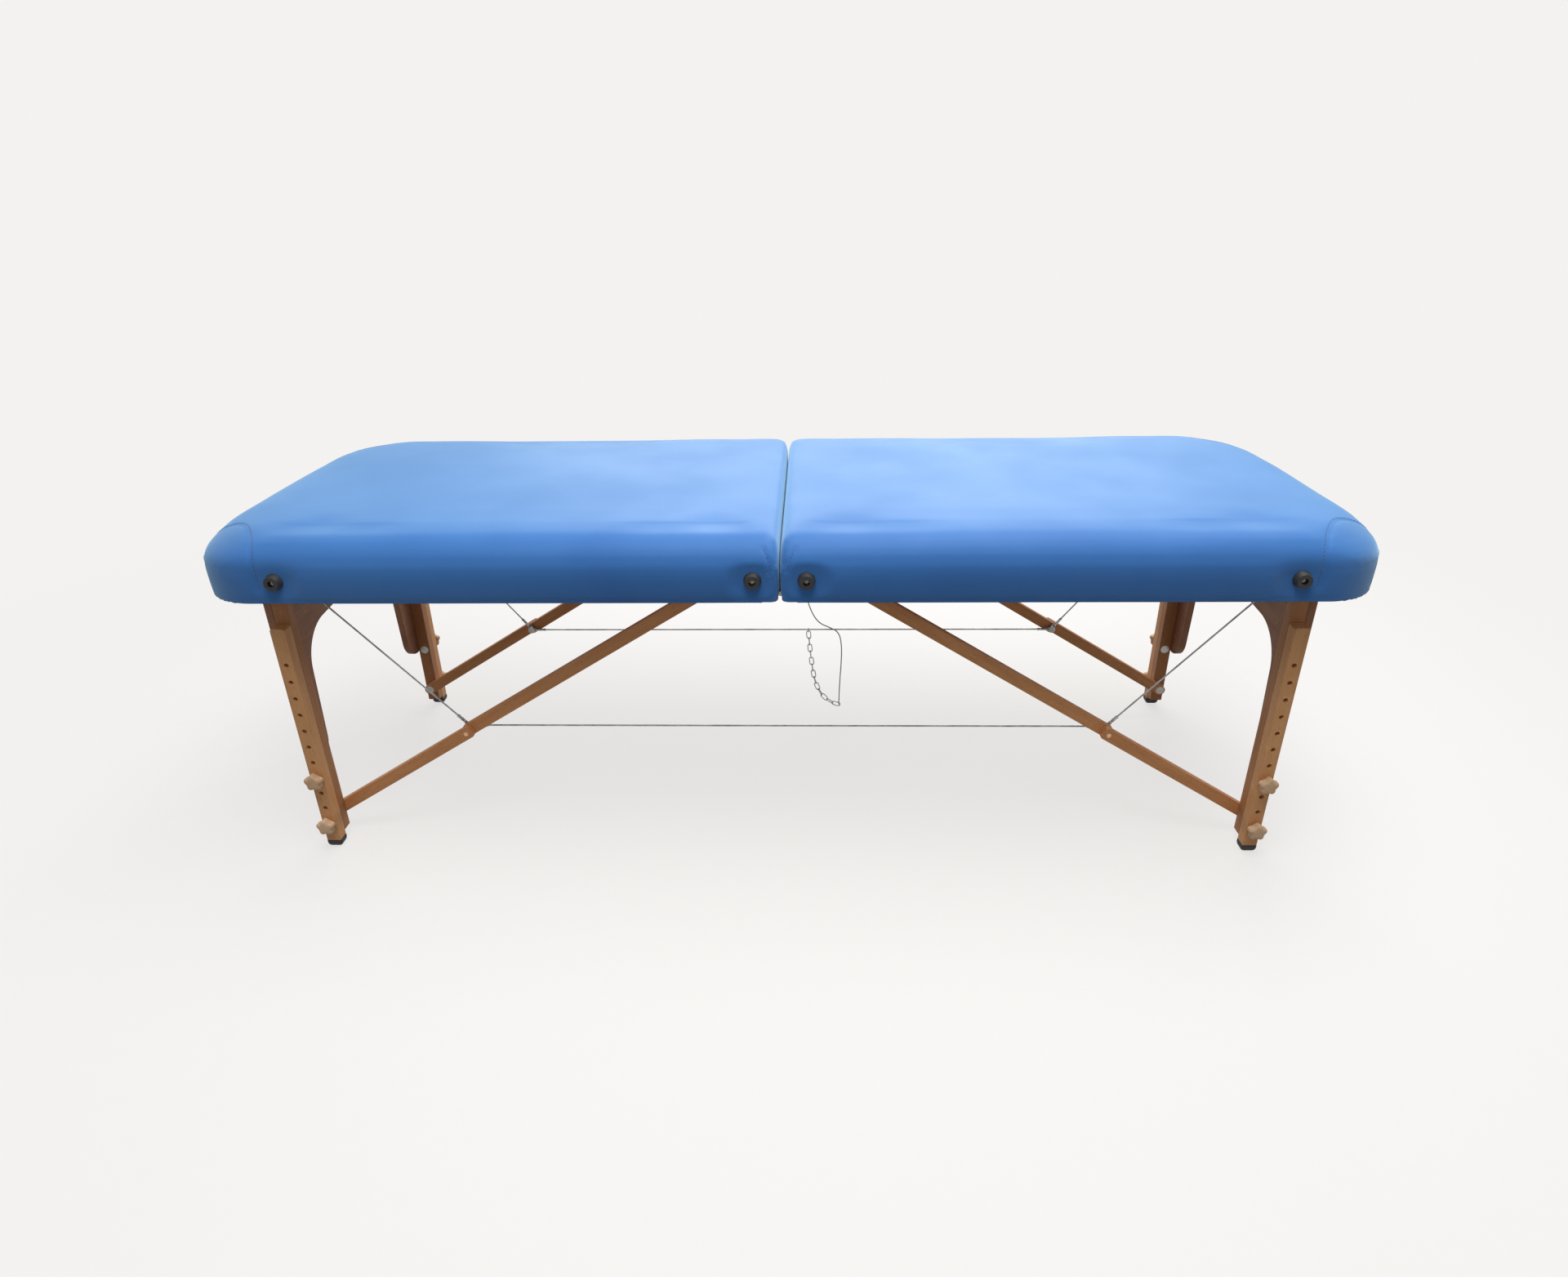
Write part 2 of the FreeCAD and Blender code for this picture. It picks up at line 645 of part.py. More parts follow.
# Steel brackets under the deck, with the pivots of the legs and of the upper braces
def make_bracket(name, spread, far):
    """A tongue that hangs beside the pivoting piece, and a flange under the deck."""
    near_x = f"({spread} - bracket_width / 2)"
    far_x = f"({spread} + bracket_width / 2)"
    low = f"({PIVOT_Z} - bracket_width / 2)"
    body = new_body(name)
    tongue = [(near_x, low), (far_x, low), (far_x, RAIL_TOP), (near_x, RAIL_TOP)]
    pad(body, f"{name}_tongue", outline(body, f"{name}_side", "XZ_Plane", f"-{far}", tongue), "bracket_thick")
    ends = edges_at(body.Shape, Y_AXIS, z=value(low))
    round_body(body, f"{name}_round", ends, "bracket_round")
    inner = f"({far} - bracket_thick)"
    flange = [(near_x, f"{inner} - bracket_flange"), (far_x, f"{inner} - bracket_flange"),
              (far_x, far), (near_x, far)]
    sheet_part = outline(body, f"{name}_plan", "XY_Plane", f"{RAIL_TOP} - bracket_thick", flange)
    pad(body, f"{name}_flange", sheet_part, "bracket_thick")
    bore(body, f"{name}_hole", BORE, (spread, f"{inner} - overcut", PIVOT_Z), "bracket_thick + 2 * overcut")
    return body


def make_pivot(name, spread, bracket_far, held_far):
    """A pivot bolt with a spool for the cables on its inner end, flush with the held piece outside."""
    inner = f"({bracket_far} - bracket_thick)"
    spool = f"({inner} - spool_length)"
    shank = rod(f"{name}_shank", "bolt_radius", (spread, spool, PIVOT_Z), f"{held_far} - {spool}")
    head = rod(f"{name}_head", "spool_head", (spread, f"{spool} - spool_head_thick", PIVOT_Z),
               "spool_head_thick")
    return fuse(name, [shank, head])


paired([make_bracket("leg_bracket", "leg_spread", LOWER_FAR),
        make_bracket("brace_bracket", "anchor_spread", BRACKET_FAR)], "brackets")
paired([make_pivot("leg_pivot", "leg_spread", LOWER_FAR, POST_FAR),
        make_pivot("brace_pivot", "anchor_spread", BRACKET_FAR, UPPER_FAR)], "pivot_bolts")


# Leg pair of a half
def make_post(name):
    body = new_body(name)
    top = f"({PIVOT_Z} + post_width / 2)"
    side = [(LEG_INNER, "post_bottom"), (LEG_OUTER, "post_bottom"), (LEG_OUTER, top), (LEG_INNER, top)]
    pad(body, f"{name}_bar", outline(body, f"{name}_side", "XZ_Plane", f"-{POST_FAR}", side), "post_depth")
    round_body(body, f"{name}_round", edges_at(body.Shape, Y_AXIS, z=value(top)), "post_round")
    for label, height in (("pivot", PIVOT_Z), ("low", "hole_low"), ("high", HIGH_HOLE)):
        bore(body, f"{name}_{label}", BORE, ("leg_spread", "post_face - overcut", height),
             "post_depth + 2 * overcut")
    bore(body, f"{name}_sink", SUNK_HEAD, ("leg_spread", "post_face - overcut", HIGH_HOLE),
         f"{SUNK_DEPTH} + overcut")
    return body


def make_end_panel():
    """Arched panel between the posts: two arms with rounded feet and a wide arch."""
    body = new_body("end_panel")
    top = f"({RAIL_TOP} - panel_play)"
    half = [("0", "arch_top"), ("arch_half", "arch_shoulder"), ("arm_inner", "arm_bottom"),
            (POST_FAR, "arm_bottom"), (POST_FAR, top), ("0", top)]
    pad(body, "panel_half", outline(body, "panel_outline", "YZ_Plane", LEG_OUTER, half), "panel_thick")
    whole = body.newObject("PartDesign::Mirrored", "panel_whole")
    whole.Originals = [body.Tip]
    whole.MirrorPlane = (plane_of(body, "XZ_Plane"), [""])
    body.Tip = whole
    doc.recompute()
    shoulders = []
    for side in (-1, 1):
        shoulders += edges_at(body.Shape, X_AXIS, y=side * value("arch_half"), z=value("arch_shoulder"))
    round_body(body, "panel_shoulders", shoulders, "arch_radius")
    feet = []
    for side in (-1, 1):
        feet += edges_at(body.Shape, X_AXIS, y=side * value("arm_inner"), z=value("arm_bottom"))
    round_body(body, "panel_feet", feet, "arm_round")
    return body


def make_extension(name):
    """Sliding bar with its row of holes."""
    body = new_body(name)
    side = [(LEG_INNER, "foot_height"), (LEG_OUTER, "foot_height"),
            (LEG_OUTER, "extension_top"), (LEG_INNER, "extension_top")]
    pad(body, f"{name}_bar", outline(body, f"{name}_side", "XZ_Plane", f"-{EXTENSION_FAR}", side),
        "extension_depth")
    chamfer = body.newObject("PartDesign::Chamfer", f"{name}_chamfer")
    chamfer.Base = (chamfer.BaseFeature, edges_at(body.Shape, Y_AXIS, z=value("extension_top")))
    bind(chamfer, Size="extension_chamfer")
    doc.recompute()
    hole = bore(body, f"{name}_hole", BORE, ("leg_spread", f"{EXTENSION_NEAR} - overcut", "hole_low"),
                "extension_depth + 2 * overcut")
    row = body.newObject("PartDesign::LinearPattern", f"{name}_row")
    row.Originals = [hole]
    row.Direction = (plane_of(body, "Z_Axis"), [""])
    bind(row, Length="(hole_count - 1) * hole_pitch", Occurrences="hole_count")
    body.Tip = row
    doc.recompute()
    return body


def make_foot(name):
    low = (f"{LEG_INNER} - foot_lip", f"{EXTENSION_NEAR} - foot_lip", "0")
    high = (f"{LEG_OUTER} + foot_lip", f"{EXTENSION_FAR} + foot_lip", "foot_height")
    block = box(f"{name}_block", low, high)
    doc.recompute()
    edges = edges_at(block.Shape, X_AXIS, z=0) + edges_at(block.Shape, Y_AXIS, z=0)
    return round_block(name, block, edges, "foot_round")


def make_leg_bolt(name, height, seat, sunk):
    """Flat-headed bolt from its seat on the inner side into the knob."""
    head_start = f"({seat} + {sunk} - head_seat - head_thick)"
    end = f"({EXTENSION_FAR} + layer_gap + hub_thick + knob_thick - knob_cap)"
    shank = rod(f"{name}_shank", "bolt_radius", ("leg_spread", head_start, height), f"{end} - {head_start}")
    head = rod(f"{name}_head", "head_radius", ("leg_spread", head_start, height), "head_thick")
    return fuse(name, [shank, head])


def make_knob(name, height):
    """Star knob: a collar, a core and a ring of lobes, on the end of its bolt."""
    body = new_body(name)
    start = f"({EXTENSION_FAR} + layer_gap)"
    end = f"({start} + hub_thick + knob_thick)"
    centre = ("0", "0")
    core = disc(body, f"{name}_core", "XZ_Plane", f"-{end}", centre, "knob_core")
    pad(body, f"{name}_star", core, "knob_thick")
    ball = disc(body, f"{name}_ball", "XZ_Plane", f"-{end}", ("0", "knob_core"), "lobe_radius")
    lobe = pad(body, f"{name}_lobe", ball, "knob_thick")
    ring = body.newObject("PartDesign::PolarPattern", f"{name}_ring")
    ring.Originals = [lobe]
    ring.Axis = (plane_of(body, "Y_Axis"), [""])
    ring.Angle = 360
    bind(ring, Occurrences="lobe_count")
    body.Tip = ring
    doc.recompute()
    collar = disc(body, f"{name}_collar", "XZ_Plane", f"-({start} + hub_thick)", centre, "knob_hub")
    pad(body, f"{name}_hub", collar, "hub_thick")
    bore(body, f"{name}_thread", BORE, ("0", f"{start} - overcut", "0"),
         "overcut + hub_thick + knob_thick - knob_cap + bolt_end_play")
    put(body, "leg_spread", "0", height)
    doc.recompute()
    return body


both_sides(make_post, "post")
both_halves(make_end_panel(), "end_panel")
both_sides(make_extension, "extension")
both_sides(make_foot, "foot")
paired([make_leg_bolt("low_bolt", "hole_low", LOWER_NEAR, SUNK_DEPTH),
        make_leg_bolt("high_bolt", HIGH_HOLE, "post_face", SUNK_DEPTH)], "leg_bolts")
paired([make_knob("low_knob", "hole_low"), make_knob("high_knob", HIGH_HOLE)], "knobs")


# Elbow braces
brace_slope = math.degrees(math.atan2(value(LEG_LENGTH), value(PIVOTS_APART)))
elbow_x = value("anchor_spread") + value(UPPER_LENGTH) * math.cos(math.radians(brace_slope))
elbow_z = value(PIVOT_Z) - value(UPPER_LENGTH) * math.sin(math.radians(brace_slope))
print(f"braces: slope {brace_slope:.3f} deg, elbow at {elbow_x:.2f}, {elbow_z:.2f}")
print(f"braces: lower {value(LOWER_LENGTH):.2f}, upper {value(UPPER_LENGTH):.2f}")


def make_brace(name, length, far, overhang, elbow_radius, sink):
    """A flat bar drawn along +X from its round pivot end to its elbow end."""
    body = new_body(name)
    half = "brace_height / 2"
    end = f"({length} + {overhang})"
    side = [(f"-{half}", f"-{half}"), (end, f"-{half}"), (end, half), (f"-{half}", half)]
    pad(body, f"{name}_bar", outline(body, f"{name}_side", "XZ_Plane", f"-{far}", side), "brace_thick")
    pivot_ends = edges_at(body.Shape, Y_AXIS, x=-value("brace_height") / 2)
    round_body(body, f"{name}_round", pivot_ends, "brace_round")
    round_body(body, f"{name}_elbow_end", edges_at(body.Shape, Y_AXIS, x=value(end)), elbow_radius)
    near = f"({far} - brace_thick)"
    for label, place in (("pivot", "0"), ("elbow", length)):
        bore(body, f"{name}_{label}", BORE, (place, f"{near} - overcut", "0"), "brace_thick + 2 * overcut")
    if sink:
        bore(body, f"{name}_sink", SUNK_HEAD, ("0", f"{near} - overcut", "0"), f"{SUNK_DEPTH} + overcut")
    return body


def make_lower_brace(name):
    body = make_brace(name, LOWER_LENGTH, LOWER_FAR, "elbow_reach", "elbow_round", True)
    place = FreeCAD.Vector(value("leg_spread"), 0, value("hole_low"))
    body.Placement = FreeCAD.Placement(place, FreeCAD.Rotation(Y_AXIS, 180 + brace_slope))
    doc.recompute()
    return body


def make_upper_brace(name):
    body = make_brace(name, UPPER_LENGTH, UPPER_FAR, "brace_height / 2", "brace_round", False)
    place = FreeCAD.Vector(value("anchor_spread"), 0, value(PIVOT_Z))
    body.Placement = FreeCAD.Placement(place, FreeCAD.Rotation(Y_AXIS, brace_slope))
    doc.recompute()
    return body


def make_elbow_eye():
    """Upper half of the elbow rivet, with the spool that the cables loop round."""
    spool = f"({UPPER_NEAR} - spool_length)"
    shank = rod("eye_shank", "bolt_radius", (elbow_x, spool, elbow_z), f"{UPPER_FAR} - {spool}")
    head_start = f"{spool} - spool_head_thick"
    head = rod("eye_head", "spool_head", (elbow_x, head_start, elbow_z), "spool_head_thick")
    return fuse("elbow_eye", [shank, head])


both_sides(make_lower_brace, "lower_brace")
both_sides(make_upper_brace, "upper_brace")
paired([make_elbow_eye()], "elbow_eyes")
paired([rod("elbow_rivet", "bolt_radius", (elbow_x, LOWER_NEAR, elbow_z), "brace_thick")], "elbow_rivets")


# Steel cables with crimped loops
def cable(start, end):
    """A taut cable from loop to loop, with a crimped sleeve beside each loop."""
    run = (end - start).normalize()
    wire = value("cable_radius")
    loop = value("bolt_radius") + value("eye_play") + wire
    first = start + run * loop
    last = end - run * loop
    solid = wire_solid([first, last], wire, run.cross(Y_AXIS).normalize())
    for place, way in ((start, run), (end, run * -1)):
        begin = place + way * (loop + wire + value("ferrule_gap"))
        sleeve_end = begin + way * value("ferrule_length")
        solid = solid.fuse(ring_solid(place, loop, wire, Y_AXIS))
        across = way.cross(Y_AXIS).normalize()
        solid = solid.fuse(wire_solid([begin, sleeve_end], value("ferrule_radius"), across))
    return solid


stay_y = value(UPPER_NEAR) - value("cable_gap") - value("ferrule_radius")
link_y = stay_y - 2 * value("cable_radius") - value("skin_gap")
bracket_y = value(LOWER_FAR) - value("bracket_thick") - value("spool_length") / 2
elbow_loop = FreeCAD.Vector(elbow_x, stay_y, elbow_z)
leg_loop = FreeCAD.Vector(value("leg_spread"), bracket_y, value(PIVOT_Z))
paired([fixed("stay_cable", cable(elbow_loop, leg_loop))], "stay_cables")

link_back = fixed("link_cable", cable(FreeCAD.Vector(-elbow_x, link_y, elbow_z),
                                      FreeCAD.Vector(elbow_x, link_y, elbow_z)))
subpart(group("link_group", [link_back, to_front(link_back, "link_front")]), "link_cables")

# Hanging chain: a wire from the hinge leaf, past the back link cable and down, and a chain from the wire's
# end ring up to a ring on that cable. Places along the table and heights from the link cable, as the
# photograph shows them.
WIRE_ROUTE = [(16, 288), (18, 242), (21, 192), (26, 137), (35, 82), (47, 40), (64, 13), (88, 3),
              (108, -9), (114, -43), (113, -88), (110, -133), (109, -166)]
CHAIN_ROUTE = [(41, -4.5), (44, -46), (48, -78), (51, -106), (56, -130), (65, -153), (78, -171), (93, -182),
               (110, -187)]
wire_y = link_y + value("cable_radius") + value("wire_radius") + value("skin_gap")


def chain_spot(x, rise):
    return FreeCAD.Vector(x, link_y, elbow_z + rise)


def make_ring(low):
    """A round ring across the chain, given by the lowest point of its wire."""
    return ring_solid(low + Z_AXIS * value("ring_radius"), value("ring_radius"), value("link_wire"), X_AXIS)


def wire_spot(x, rise):
    """A place on the wire, whose part above the cable is stretched to end just under the hinge leaf."""
    reach = value("frame_height - leaf_thick - skin_gap") - elbow_z
    stretch = reach / WIRE_ROUTE[0][1] if rise > 0 else 1
    return FreeCAD.Vector(x, wire_y, elbow_z + rise * stretch)


def make_hanging_wire(ring_low):
    """The wire with the ring that holds the chain's last link."""
    points = [wire_spot(x, rise) for x, rise in WIRE_ROUTE]
    aside = wire_y - link_y
    rise = value("ring_radius") + math.sqrt(value("ring_radius") ** 2 - aside ** 2)
    points[-1] = FreeCAD.Vector(ring_low.x, wire_y, ring_low.z + rise)
    wire = wire_solid(bent_path(points, WIRE_BEND_STEPS), value("wire_radius"), Y_AXIS)
    return wire.fuse(make_ring(ring_low))


def make_link(place, run, pitch, turned):
    """A chain link: two straight sides and two half rounds, in or across the plane of the chain."""
    across = Y_AXIS if turned else run.cross(Y_AXIS)
    bend = value("link_inner") + value("link_wire")
    straight = run * (pitch / 2 + value("link_wire") + value("skin_gap") / 2 - bend)
    spots = []
    for way in (1, -1):
        for step in range(LINK_BEND_STEPS + 1):
            turn = math.pi * (step / LINK_BEND_STEPS - 0.5)
            out = across * (-way * bend * math.sin(turn)) + run * (way * bend * math.cos(turn))
            spots.append(place + straight * way + out)
    return wire_solid(spots, value("link_wire"), run.cross(across), True)


def make_hanging_chain():
    """Links along the chain's route, every second one turned by a quarter, between two rings."""
    route = Part.makePolygon([chain_spot(x, rise) for x, rise in CHAIN_ROUTE])
    count = round(route.Length / value("link_pitch"))
    count += 1 - count % 2
    spots = route.discretize(Number=count + 1)
    inside = value("link_wire") + value("skin_gap") / 2
    solids = []
    for k in range(count):
        run = spots[k + 1] - spots[k]
        pitch = run.Length
        run = run.normalize()
        solids.append(make_link((spots[k] + spots[k + 1]) * 0.5, run, pitch, k % 2 == 1))
    top_run = (spots[1] - spots[0]).normalize()
    end_run = (spots[-1] - spots[-2]).normalize()
    solids.append(make_ring(spots[0] + top_run * inside))
    solids.append(make_hanging_wire(spots[-1] - end_run * inside))
    print(f"chain: {count} links, pitch {route.Length / count:.1f} mm")
    return fixed("hanging_chain", Part.makeCompound(solids))


subpart(make_hanging_chain(), "hanging_chain")

# Check and write
doc.recompute()
for item in doc.Objects:
    if "Invalid" in item.State or "Error" in item.State:
        raise RuntimeError(f"{item.Label} failed: {item.State}")
for label, item in subparts.items():
    if item.Shape.isNull() or not item.Shape.isValid() or not item.Shape.Solids:
        raise RuntimeError(f"{label} has no valid shape")
os.makedirs("parts", exist_ok=True)
for label, item in subparts.items():
    item.Shape.exportStep(f"parts/{label}.step")
print(f"{len(subparts)} sub-parts")
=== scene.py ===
"""Looks of the folding massage table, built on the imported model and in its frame.

Blender works in metres. Sizes that pass through metres() or MM are written in millimetres.
"""
import json
import math

import bmesh
import bpy
import numpy as np
from mathutils import Matrix, Vector, noise
from mathutils.bvhtree import BVHTree


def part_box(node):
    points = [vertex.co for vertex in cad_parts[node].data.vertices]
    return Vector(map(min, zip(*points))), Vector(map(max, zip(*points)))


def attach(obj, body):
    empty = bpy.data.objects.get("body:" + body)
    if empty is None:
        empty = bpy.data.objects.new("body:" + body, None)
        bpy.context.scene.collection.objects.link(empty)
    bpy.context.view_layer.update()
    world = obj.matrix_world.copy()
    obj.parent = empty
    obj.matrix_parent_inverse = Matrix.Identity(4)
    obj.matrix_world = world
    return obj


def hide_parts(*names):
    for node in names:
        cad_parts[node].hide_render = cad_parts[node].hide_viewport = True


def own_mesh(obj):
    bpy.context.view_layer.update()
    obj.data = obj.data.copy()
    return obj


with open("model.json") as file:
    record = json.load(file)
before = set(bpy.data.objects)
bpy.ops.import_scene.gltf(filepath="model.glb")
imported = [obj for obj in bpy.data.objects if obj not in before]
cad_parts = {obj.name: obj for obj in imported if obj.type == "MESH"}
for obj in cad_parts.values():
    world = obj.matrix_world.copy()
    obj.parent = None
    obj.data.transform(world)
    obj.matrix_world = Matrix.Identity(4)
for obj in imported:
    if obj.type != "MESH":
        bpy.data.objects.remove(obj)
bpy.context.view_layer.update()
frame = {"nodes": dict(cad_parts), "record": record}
scene = bpy.context.scene
MM = 0.001
SIDES = (("left", -1), ("right", 1))
FRONT_AND_BACK = (-1, 1)
BODY_OF = {node: body for body, nodes in frame["record"]["behaviour"]["bodies"].items() for node in nodes}

# Sizes repeated from the part's source
LEG_X = 826
PIVOT_Z = 534
ELBOW = (563.67, 215.23)
BRACE_SLOPE = math.radians(31.575)
STAY_Y_AT_ELBOW = 205
STAY_Y_AT_LEG = 225.75
LINK_Y = 201.5
CABLE_RADIUS = 1.6
LOOP_RADIUS = 6
PAD_END = 925
PAD_SIDE = 325
PAD_SEAM = 1
PAD_LOW = 506.6
PAD_TOP = 606.3
DECK_CORNER = 100
CORNER_X = PAD_END - DECK_CORNER
CORNER_Y = PAD_SIDE - DECK_CORNER
BUMPERS = (41, 777)
BUMPER_Z = 545
HANDLE_ENDS = (366, 514)
WIRE_RADIUS = 1.2
WIRE_Y = 204.6
RING_RADIUS = 4.4
LINK_WIRE = 1.1
LINK_INNER = 3.2
LINK_OVERLAP = 1.25 * LINK_WIRE
LINK_COUNT = 13


def metres(*lengths):
    return Vector([length * MM for length in lengths])


def colour(red, green, blue):
    """A colour written as it looks, 0 to 255, as the linear colour that a socket takes."""
    linear = []
    for part in (red, green, blue):
        share = part / 255
        linear.append(share / 12.92 if share < 0.04045 else ((share + 0.055) / 1.055) ** 2.4)
    return (*linear, 1)


def scaled(tint, factor):
    """A lighter or darker tint."""
    return (*(min(part * factor, 1) for part in tint[:3]), 1)


# Camera
CAMERA_PLACE = (50.415, -1642.397, 1082.709)
YAW = -0.03398
PITCH = 0.449155
ROLL = 0.015616
FOCAL_PIXELS = 1150.5
IMAGE_WIDTH = 1920
SENSOR_WIDTH = 36


def make_camera():
    ahead = Vector((math.sin(YAW) * math.cos(PITCH), math.cos(YAW) * math.cos(PITCH), -math.sin(PITCH)))
    level = Vector((math.cos(YAW), -math.sin(YAW), 0))
    down = ahead.cross(level)
    across = level * math.cos(ROLL) + down * math.sin(ROLL)
    below = down * math.cos(ROLL) - level * math.sin(ROLL)
    lens = bpy.data.cameras.new("camera")
    lens.sensor_fit = "HORIZONTAL"
    lens.sensor_width = SENSOR_WIDTH
    lens.lens = SENSOR_WIDTH * FOCAL_PIXELS / IMAGE_WIDTH
    camera = bpy.data.objects.new("camera", lens)
    turn = Matrix((across, -below, -ahead)).transposed().to_4x4()
    camera.matrix_world = Matrix.Translation(metres(*CAMERA_PLACE)) @ turn
    scene.collection.objects.link(camera)
    scene.camera = camera


make_camera()

# Colours
VINYL_LIGHT = colour(54, 112, 182)
VINYL_DEEP = colour(48, 104, 174)
VINYL_GROOVE = colour(38, 86, 155)
VINYL_WORN = colour(226, 230, 236)
VINYL_SHEEN = colour(176, 220, 246)
THREAD_DARK = colour(28, 48, 100)
THREAD_LIGHT = colour(52, 84, 150)
RUBBER_DARK = colour(24, 25, 27)
RUBBER_DUSTY = colour(52, 50, 48)
STRAP_DARK = colour(16, 26, 62)
STRAP_LIGHT = colour(44, 66, 126)
FOAM_DARK = colour(196, 184, 150)
FOAM_LIGHT = colour(226, 216, 186)
BEECH_LIGHT = colour(228, 162, 108)
BEECH_DARK = colour(198, 132, 82)
# Painted shade: the posts' beech is painted darker than the same wood elsewhere, for the shade on their
# inner sides
SHADED_POST_LIGHT = colour(196, 139, 93)
SHADED_POST_DARK = colour(169, 113, 70)
# Painted light: the bar's beech is painted lighter than the same wood elsewhere, for the light on its
# front
LIT_BAR_LIGHT = colour(238, 182, 128)
LIT_BAR_DARK = colour(209, 150, 98)
PANEL_LIGHT = colour(178, 128, 96)
PANEL_DARK = colour(148, 102, 74)
PALE_LIGHT = colour(236, 200, 162)
PALE_DARK = colour(212, 172, 132)
PLY_LIGHT = colour(190, 156, 112)
PLY_DARK = colour(160, 124, 82)
FLOOR_PALE = colour(244, 242, 240)
FLOOR_SPECKLE = colour(242, 240, 238)
FLOOR_GREY = (0.22, 0.22, 0.22, 1)
STUDIO_TINT = (0.93, 0.96, 1, 1)
WORN_SPOT = (-17, -325, 552)
WORN_SQUEEZE = (60, 30, 25)
WEAVE_SLANT = math.radians(35)
ALONG_X = (0, 0, 0)
ALONG_Y = (0, 0, math.pi / 2)
ALONG_Z = (0, -math.pi / 2, 0)


# Materials
class Nodes:
    """A node tree with short ways to add nodes and to join them."""

    def __init__(self, tree):
        self.tree = tree

    def add(self, kind, inputs=(), **settings):
        node = self.tree.nodes.new(kind)
        for name, setting in settings.items():
            setattr(node, name, setting)
        for socket, source in dict(inputs).items():
            self.feed(node.inputs[socket], source)
        return node

    def feed(self, socket, source):
        if isinstance(source, bpy.types.NodeSocket):
            self.tree.links.new(source, socket)
        else:
            socket.default_value = source

    def math(self, operation, first, second):
        return self.add("ShaderNodeMath", {0: first, 1: second}, operation=operation).outputs[0]

    def seen(self):
        """1 for what the camera sees, also mirrored or through glass, and 0 for light."""
        rays = self.add("ShaderNodeLightPath").outputs
        by_way = self.math("MAXIMUM", rays["Is Glossy Ray"], rays["Is Transmission Ray"])
        return self.math("MAXIMUM", rays["Is Camera Ray"], by_way)


class Shader(Nodes):
    """A node material with a few short ways to make patterns."""

    def __init__(self, name, **constants):
        self.material = bpy.data.materials.new(name)
        self.material.use_nodes = True
        super().__init__(self.material.node_tree)
        self.surface = self.tree.nodes["Principled BSDF"]
        self.set(**constants)

    def place(self, stretch=(1, 1, 1), turn=(0, 0, 0)):
        """Coordinates of the piece, turned and then drawn out along each axis."""
        spot = self.add("ShaderNodeTexCoord").outputs["Object"]
        mapping = self.add("ShaderNodeMapping", {"Vector": spot, "Rotation": turn, "Scale": stretch},
                           vector_type="TEXTURE")
        return mapping.outputs["Vector"]

    def noise(self, place, scale, detail=2.0, rough=0.5, warp=0.0):
        node = self.add("ShaderNodeTexNoise", {"Vector": place, "Scale": scale, "Detail": detail,
                                               "Roughness": rough, "Distortion": warp})
        return node.outputs["Fac"]

    def cells(self, place, scale):
        node = self.add("ShaderNodeTexVoronoi", {"Vector": place, "Scale": scale},
                        feature="DISTANCE_TO_EDGE")
        return node.outputs["Distance"]

    def wave(self, place, scale):
        node = self.add("ShaderNodeTexWave", {"Vector": place, "Scale": scale}, bands_direction="X")
        return node.outputs["Fac"]

    def span(self, source, low, high, to_low=0.0, to_high=1.0):
        """What runs from low to high, made to run from to_low to to_high."""
        node = self.add("ShaderNodeMapRange", {"Value": source, "From Min": low, "From Max": high,
                                               "To Min": to_low, "To Max": to_high})
        return node.outputs["Result"]

    def mix(self, share, first, second):
        node = self.add("ShaderNodeMix", {"Factor": share, 6: first, 7: second}, data_type="RGBA")
        return node.outputs[2]

    def bump(self, height, strength, depth, normal=None):
        node = self.add("ShaderNodeBump", {"Height": height, "Strength": strength, "Distance": depth})
        if normal is not None:
            self.feed(node.inputs["Normal"], normal)
        return node.outputs["Normal"]

    def vector(self, operation, *sources):
        return self.add("ShaderNodeVectorMath", enumerate(sources), operation=operation).outputs

    def set(self, **sockets):
        for socket, source in sockets.items():
            self.feed(self.surface.inputs[socket.replace("_", " ")], source)

    def finish(self, tone, rough, relief):
        self.set(Base_Color=tone, Roughness=rough, Normal=relief)
        return self.material


def wood_material(name, light, dark, turn):
    """Lacquered wood whose grain runs along the turned X axis."""
    shade = Shader(name, Specular_IOR_Level=0.28)
    fine = shade.noise(shade.place((14, 1, 1), turn), scale=150, detail=5, rough=0.6, warp=0.3)
    boards = shade.noise(shade.place((6, 1, 1), turn), scale=11, detail=3, rough=0.5, warp=0.6)
    pores = shade.noise(shade.place((5, 1, 1), turn), scale=520, detail=2, rough=0.5)
    rubbing = shade.noise(shade.place(), scale=26, detail=4, rough=0.6)
    flecks = shade.span(pores, 0.60, 0.72)
    tone = shade.mix(shade.span(boards, 0.3, 0.7), light, dark)
    streaked = shade.mix(shade.span(fine, 0.42, 0.7, 0, 0.45), tone, dark)
    flecked = shade.mix(shade.math("MULTIPLY", flecks, 0.5), streaked, scaled(dark, 0.62))
    worn = shade.mix(shade.span(rubbing, 0.62, 0.75, 0, 0.35), flecked, scaled(light, 1.35))
    relief = shade.bump(fine, strength=0.25, depth=0.0003)
    relief = shade.bump(flecks, strength=0.3, depth=0.0002, normal=relief)
    return shade.finish(worn, shade.span(fine, 0.3, 0.7, 0.46, 0.62), relief)


